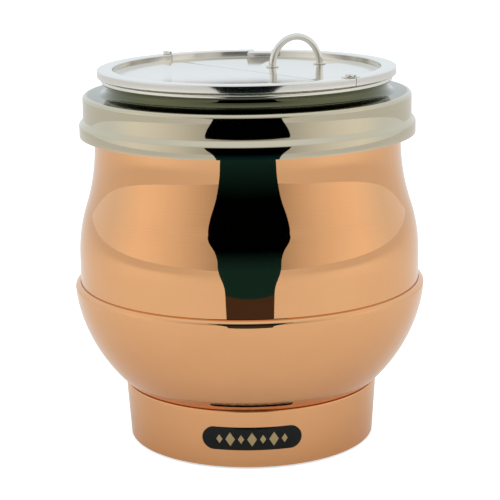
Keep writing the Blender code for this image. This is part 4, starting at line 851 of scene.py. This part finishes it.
class KETTLE_OT_inner_finishes(bpy.types.Operator):
    """Give every fixed node that stays in view its own finish"""

    bl_idname = "kettle.inner_finishes"
    bl_label = "Inner Finishes"

    def execute(self, context):
        # cold-rolled plate: grey, with a drawn grain about 1.5 mm across
        plate = grained("cold_rolled_steel", linear("#9d9d9a"), linear("#83837f"), 1.5 * MM, 0.01 * MM,
                        0.30, 0.45, 1.0, (1.0, 6.0, 1.0))
        # zinc-plated screws: pale, slightly blotched over about 1 mm
        zinc = grained("zinc_plated_steel", linear("#b4b7ba"), linear("#9a9ea3"), 1.0 * MM, 0.004 * MM,
                       0.25, 0.38, 1.0)
        # die-cast aluminium: dull silver with a sandy skin of 0.6 mm grains
        cast = grained("cast_aluminium", linear("#b5b7b8"), linear("#989b9d"), 0.6 * MM, 0.03 * MM,
                       0.42, 0.58, 1.0)
        # rolled aluminium sheet: soft sheen, grain drawn one way
        rolled = grained("rolled_aluminium", linear("#c1c3c4"), linear("#aeb1b2"), 0.8 * MM, 0.004 * MM,
                         0.28, 0.40, 1.0, (0.1, 1.0, 1.0))
        # phenolic moulding, as on the knob
        phenolic = bpy.data.materials["moulded_phenolic"]
        # urea moulding: milky white with a faint mottle
        urea = grained("moulded_urea", linear("#dcd9cf"), linear("#cfccc0"), 3.0 * MM, 0.01 * MM, 0.42, 0.55)
        # moulded nitrile rubber: matt black, dusty in the pores
        rubber = grained("moulded_rubber", linear("#19191a"), linear("#2b2b2c"), 0.7 * MM, 0.05 * MM,
                         0.75, 0.9)
        # mineral wool: tangled ochre fibres, drawn 1.2 mm thick so that they show
        wool = grained("mineral_wool", linear("#c9b67a"), linear("#8f7d45"), 1.2 * MM, 0.8 * MM, 0.9, 1.0,
                       0.0, (1.0, 1.0, 3.0))
        # turned brass: yellow with fine tool marks
        brass = grained("turned_brass", linear("#cda85a"), linear("#b38d44"), 0.5 * MM, 0.004 * MM,
                        0.22, 0.36, 1.0)
        # silicone sleeving: satin, brown on the live wires and blue on the neutral
        brown = grained("brown_silicone_sleeve", linear("#6b4023"), linear("#55311a"), 0.6 * MM, 0.02 * MM,
                        0.5, 0.62)
        blue = grained("blue_silicone_sleeve", linear("#2f5fa8"), linear("#264d8a"), 0.6 * MM, 0.02 * MM,
                       0.5, 0.62)
        # oxidised element sheath: dark, dry and slightly scaled
        sheath = grained("oxidised_sheath", linear("#5d5750"), linear("#3e3a36"), 0.8 * MM, 0.02 * MM,
                         0.45, 0.7, 0.8)
        worn_by = {
            plate: ("base_plate", "clamp_plate", "thermostat_bracket"),
            zinc: ("hinge_pin_left", "hinge_pin_right", "foot_screw_1", "foot_screw_2", "foot_screw_3",
                   "foot_screw_4", "centre_stud", "thermostat_shaft"),
            cast: ("element_plate", "shield_spacer", "bowl_spacer"),
            rolled: ("heat_shield", "dial_plate"),
            phenolic: ("thermostat_body", "gland_nut", "thermal_cut_out"),
            urea: ("lamp_body", "terminal_block"),
            rubber: ("foot_1", "foot_2", "foot_3", "foot_4"),
            wool: ("insulation_band", "insulation_pad"),
            brass: ("element_nut", "bowl_nut", "base_nut", "thermostat_bulb", "capillary_tube",
                    "earth_screw"),
            brown: ("live_wire", "element_wire"),
            blue: ("neutral_wire",),
            sheath: ("heating_element",),
        }
        for material, names in worn_by.items():
            for name in names:
                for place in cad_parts[name].material_slots:
                    place.material = material
        return {"FINISHED"}


# ------------------------------------------------------------------ stage

def studio_world(world):
    """White room whose light, as seen in polish, fades to the middle of the front and cools behind."""
    world.use_nodes = True
    tree = world.node_tree
    tree.nodes.clear()
    facing = add(tree, "ShaderNodeTexCoord", {}).outputs["Generated"]
    parts = add(tree, "ShaderNodeSeparateXYZ", {"Vector": facing})
    sideways = add(tree, "ShaderNodeMath", {0: parts.outputs["X"]}, operation="ABSOLUTE")
    front = add(tree, "ShaderNodeMapRange", {"Value": sideways.outputs["Value"], "From Min": 0.25,
                                             "From Max": 1.0, "To Min": 0.42, "To Max": 1.08})
    # how far a direction has turned from the front towards the back
    turned = add(tree, "ShaderNodeMapRange", {"Value": parts.outputs["Y"], "From Min": -0.15,
                                              "From Max": 0.35})
    level = add(tree, "ShaderNodeMix", {0: turned.outputs["Result"], 2: front.outputs["Result"], 3: 0.98},
                data_type="FLOAT")
    raised_up = add(tree, "ShaderNodeMapRange", {"Value": parts.outputs["Z"], "From Min": 0.30,
                                                 "From Max": 0.85})
    bright = add(tree, "ShaderNodeMix", {0: raised_up.outputs["Result"], 2: level.outputs[0], 3: 1.02},
                 data_type="FLOAT")
    cool = add(tree, "ShaderNodeMath", {0: turned.outputs["Result"], 1: raised_up.outputs["Result"]},
               operation="MAXIMUM")
    tint = add(tree, "ShaderNodeMix", {0: cool.outputs["Value"], 6: (*linear("#fffcf6"), 1.0),
                                       7: (*linear("#f2f9ff"), 1.0)}, data_type="RGBA")
    polish = add(tree, "ShaderNodeBackground", {"Color": tint.outputs[2], "Strength": bright.outputs[0]})
    plain = add(tree, "ShaderNodeBackground", {"Color": (1.0, 1.0, 1.0, 1.0), "Strength": 1.05})
    path = add(tree, "ShaderNodeLightPath", {})
    either = add(tree, "ShaderNodeMixShader", {0: path.outputs["Is Glossy Ray"], 1: plain.outputs[0],
                                               2: polish.outputs[0]})
    add(tree, "ShaderNodeOutputWorld", {"Surface": either.outputs[0]})


def softbox(name, place, aim, width, height, power):
    """A large soft lamp that faces a point."""
    light = bpy.data.lights.new(name, "AREA")
    light.shape = "RECTANGLE"
    light.size = width
    light.size_y = height
    light.energy = power
    made = bpy.data.objects.new(name, light)
    made.location = place
    made.rotation_euler = (Vector(aim) - Vector(place)).to_track_quat("-Z", "Y").to_euler()
    bpy.context.scene.collection.objects.link(made)
    made.visible_glossy = False


def paper_floor():
    """White paper, lit up a little more for the camera so that the ground stays even."""
    shape = bmesh.new()
    bmesh.ops.create_grid(shape, x_segments=8, y_segments=8, size=FLOOR_HALF)
    paper = grained("white_paper", linear("#dededd"), linear("#dbdbda"), 60.0 * MM, 0.0, 0.8, 0.9)
    tree = paper.node_tree
    path = add(tree, "ShaderNodeLightPath", {})
    glow = add(tree, "ShaderNodeMath", {0: path.outputs["Is Camera Ray"], 1: 0.6}, operation="MULTIPLY")
    shader = tree.nodes["Principled BSDF"]
    shader.inputs["Emission Color"].default_value = (1.0, 1.0, 1.0, 1.0)
    tree.links.new(glow.outputs["Value"], shader.inputs["Emission Strength"])
    return piece("floor", shape, paper, None)


def felt(name, cast):
    """Felt that returns no light but a faint cast of its own."""
    made, tree, shader, place = started(name)
    shader.inputs["Base Color"].default_value = (0.0, 0.0, 0.0, 1.0)
    shader.inputs["Roughness"].default_value = 1.0
    shader.inputs["Specular IOR Level"].default_value = 0.0
    shader.inputs["Emission Color"].default_value = (*cast, 1.0)
    shader.inputs["Emission Strength"].default_value = 1.0
    return made, tree, shader, place


def card(name, sides, material):
    """An upright card before the kettle that shows only in polish, from its heights and half widths."""
    shape = bmesh.new()
    outline = [(half, z) for z, half in sides] + [(-half, z) for z, half in reversed(sides)]
    shape.faces.new([shape.verts.new((x, -CARD_DISTANCE, z)) for x, z in outline])
    made = piece(name, shape, material, None)
    made.visible_camera = False
    made.visible_diffuse = False
    made.visible_shadow = False
    made.visible_transmission = False
    return made


class KETTLE_OT_stage(bpy.types.Operator):
    """Set up the pale floor, the soft light, the dark cards before the kettle and the camera"""

    bl_idname = "kettle.stage"
    bl_label = "Stage"

    def execute(self, context):
        scene = context.scene
        scene.view_settings.view_transform = "Standard"
        world = bpy.data.worlds.new("studio")
        scene.world = world
        studio_world(world)
        across, before, above = SOFTBOX_PLACE
        for name, side in (("left_softbox", -1.0), ("right_softbox", 1.0)):
            softbox(name, (side * across, before, above), SOFTBOX_AIM, *SOFTBOX_SIZE, SOFTBOX_POWER)
        floor = paper_floor()
        # the cards stand for the gap that the front of the room leaves between its lights: black felt with a
        # teal cast low down, and a brown foot that is a painted shadow of the floor before the kettle
        black, tree, shader, place = felt("black_felt", (0.008, 0.045, 0.055))
        parts = add(tree, "ShaderNodeSeparateXYZ", {"Vector": place})
        low, high = CARD_CAST_Z
        fade = add(tree, "ShaderNodeMapRange", {"Value": parts.outputs["Z"], "From Min": low,
                                                "From Max": high, "To Min": 1.0, "To Max": 0.0})
        tree.links.new(fade.outputs["Result"], shader.inputs["Emission Strength"])
        # brown felt: a painted shadow of the floor before the kettle, seen only in the polish
        brown = felt("brown_felt_painted_shadow", linear("#4a3f36"))[0]
        card("dark_card", smoothed(CARD_LINE, CARD_LINE_STEPS), black)
        card("painted_shadow_card", CARD_SHADOW_FOOT, brown)
        camera = bpy.data.cameras.new("camera")
        camera.sensor_width = 36.0
        camera.lens = CAMERA_LENS
        made = bpy.data.objects.new("camera", camera)
        made.matrix_world = (Matrix.Translation(CAMERA_PLACE) @ Matrix.Rotation(CAMERA_TILT, 4, "X")
                             @ Matrix.Rotation(CAMERA_ROLL, 4, "Z"))
        scene.collection.objects.link(made)
        scene.camera = made
        return {"FINISHED"}


# ------------------------------------------------------------------ panel and registration

OPERATORS = (
    KETTLE_OT_copper_body,
    KETTLE_OT_collar,
    KETTLE_OT_pot_and_well,
    KETTLE_OT_lid,
    KETTLE_OT_handle,
    KETTLE_OT_badge,
    KETTLE_OT_hinges,
    KETTLE_OT_rear_fittings,
    KETTLE_OT_inner_finishes,
    KETTLE_OT_stage,
)


class KETTLE_PT_looks(bpy.types.Panel):
    """Sizes, colours and steps of the kettle's looks"""

    bl_idname = "KETTLE_PT_looks"
    bl_label = "Soup Kettle"
    bl_space_type = "VIEW_3D"
    bl_region_type = "UI"
    bl_category = "Kettle"

    def draw(self, context):
        for group in (context.scene.kettle_sizes, context.scene.kettle_colours):
            column = self.layout.column()
            for name in group.__annotations__:
                column.prop(group, name)
        for operator in OPERATORS:
            self.layout.operator(operator.bl_idname)


CLASSES = (KettleSizes, KettleColours, *OPERATORS, KETTLE_PT_looks)


def register():
    for kind in CLASSES:
        bpy.utils.register_class(kind)
    bpy.types.Scene.kettle_sizes = PointerProperty(type=KettleSizes)
    bpy.types.Scene.kettle_colours = PointerProperty(type=KettleColours)


def unregister():
    del bpy.types.Scene.kettle_colours
    del bpy.types.Scene.kettle_sizes
    for kind in reversed(CLASSES):
        bpy.utils.unregister_class(kind)


def main():
    """Build every piece in order."""
    register()
    for operator in OPERATORS:
        group, step = operator.bl_idname.split(".")
        getattr(getattr(bpy.ops, group), step)()


if __name__ == "__main__":
    main()
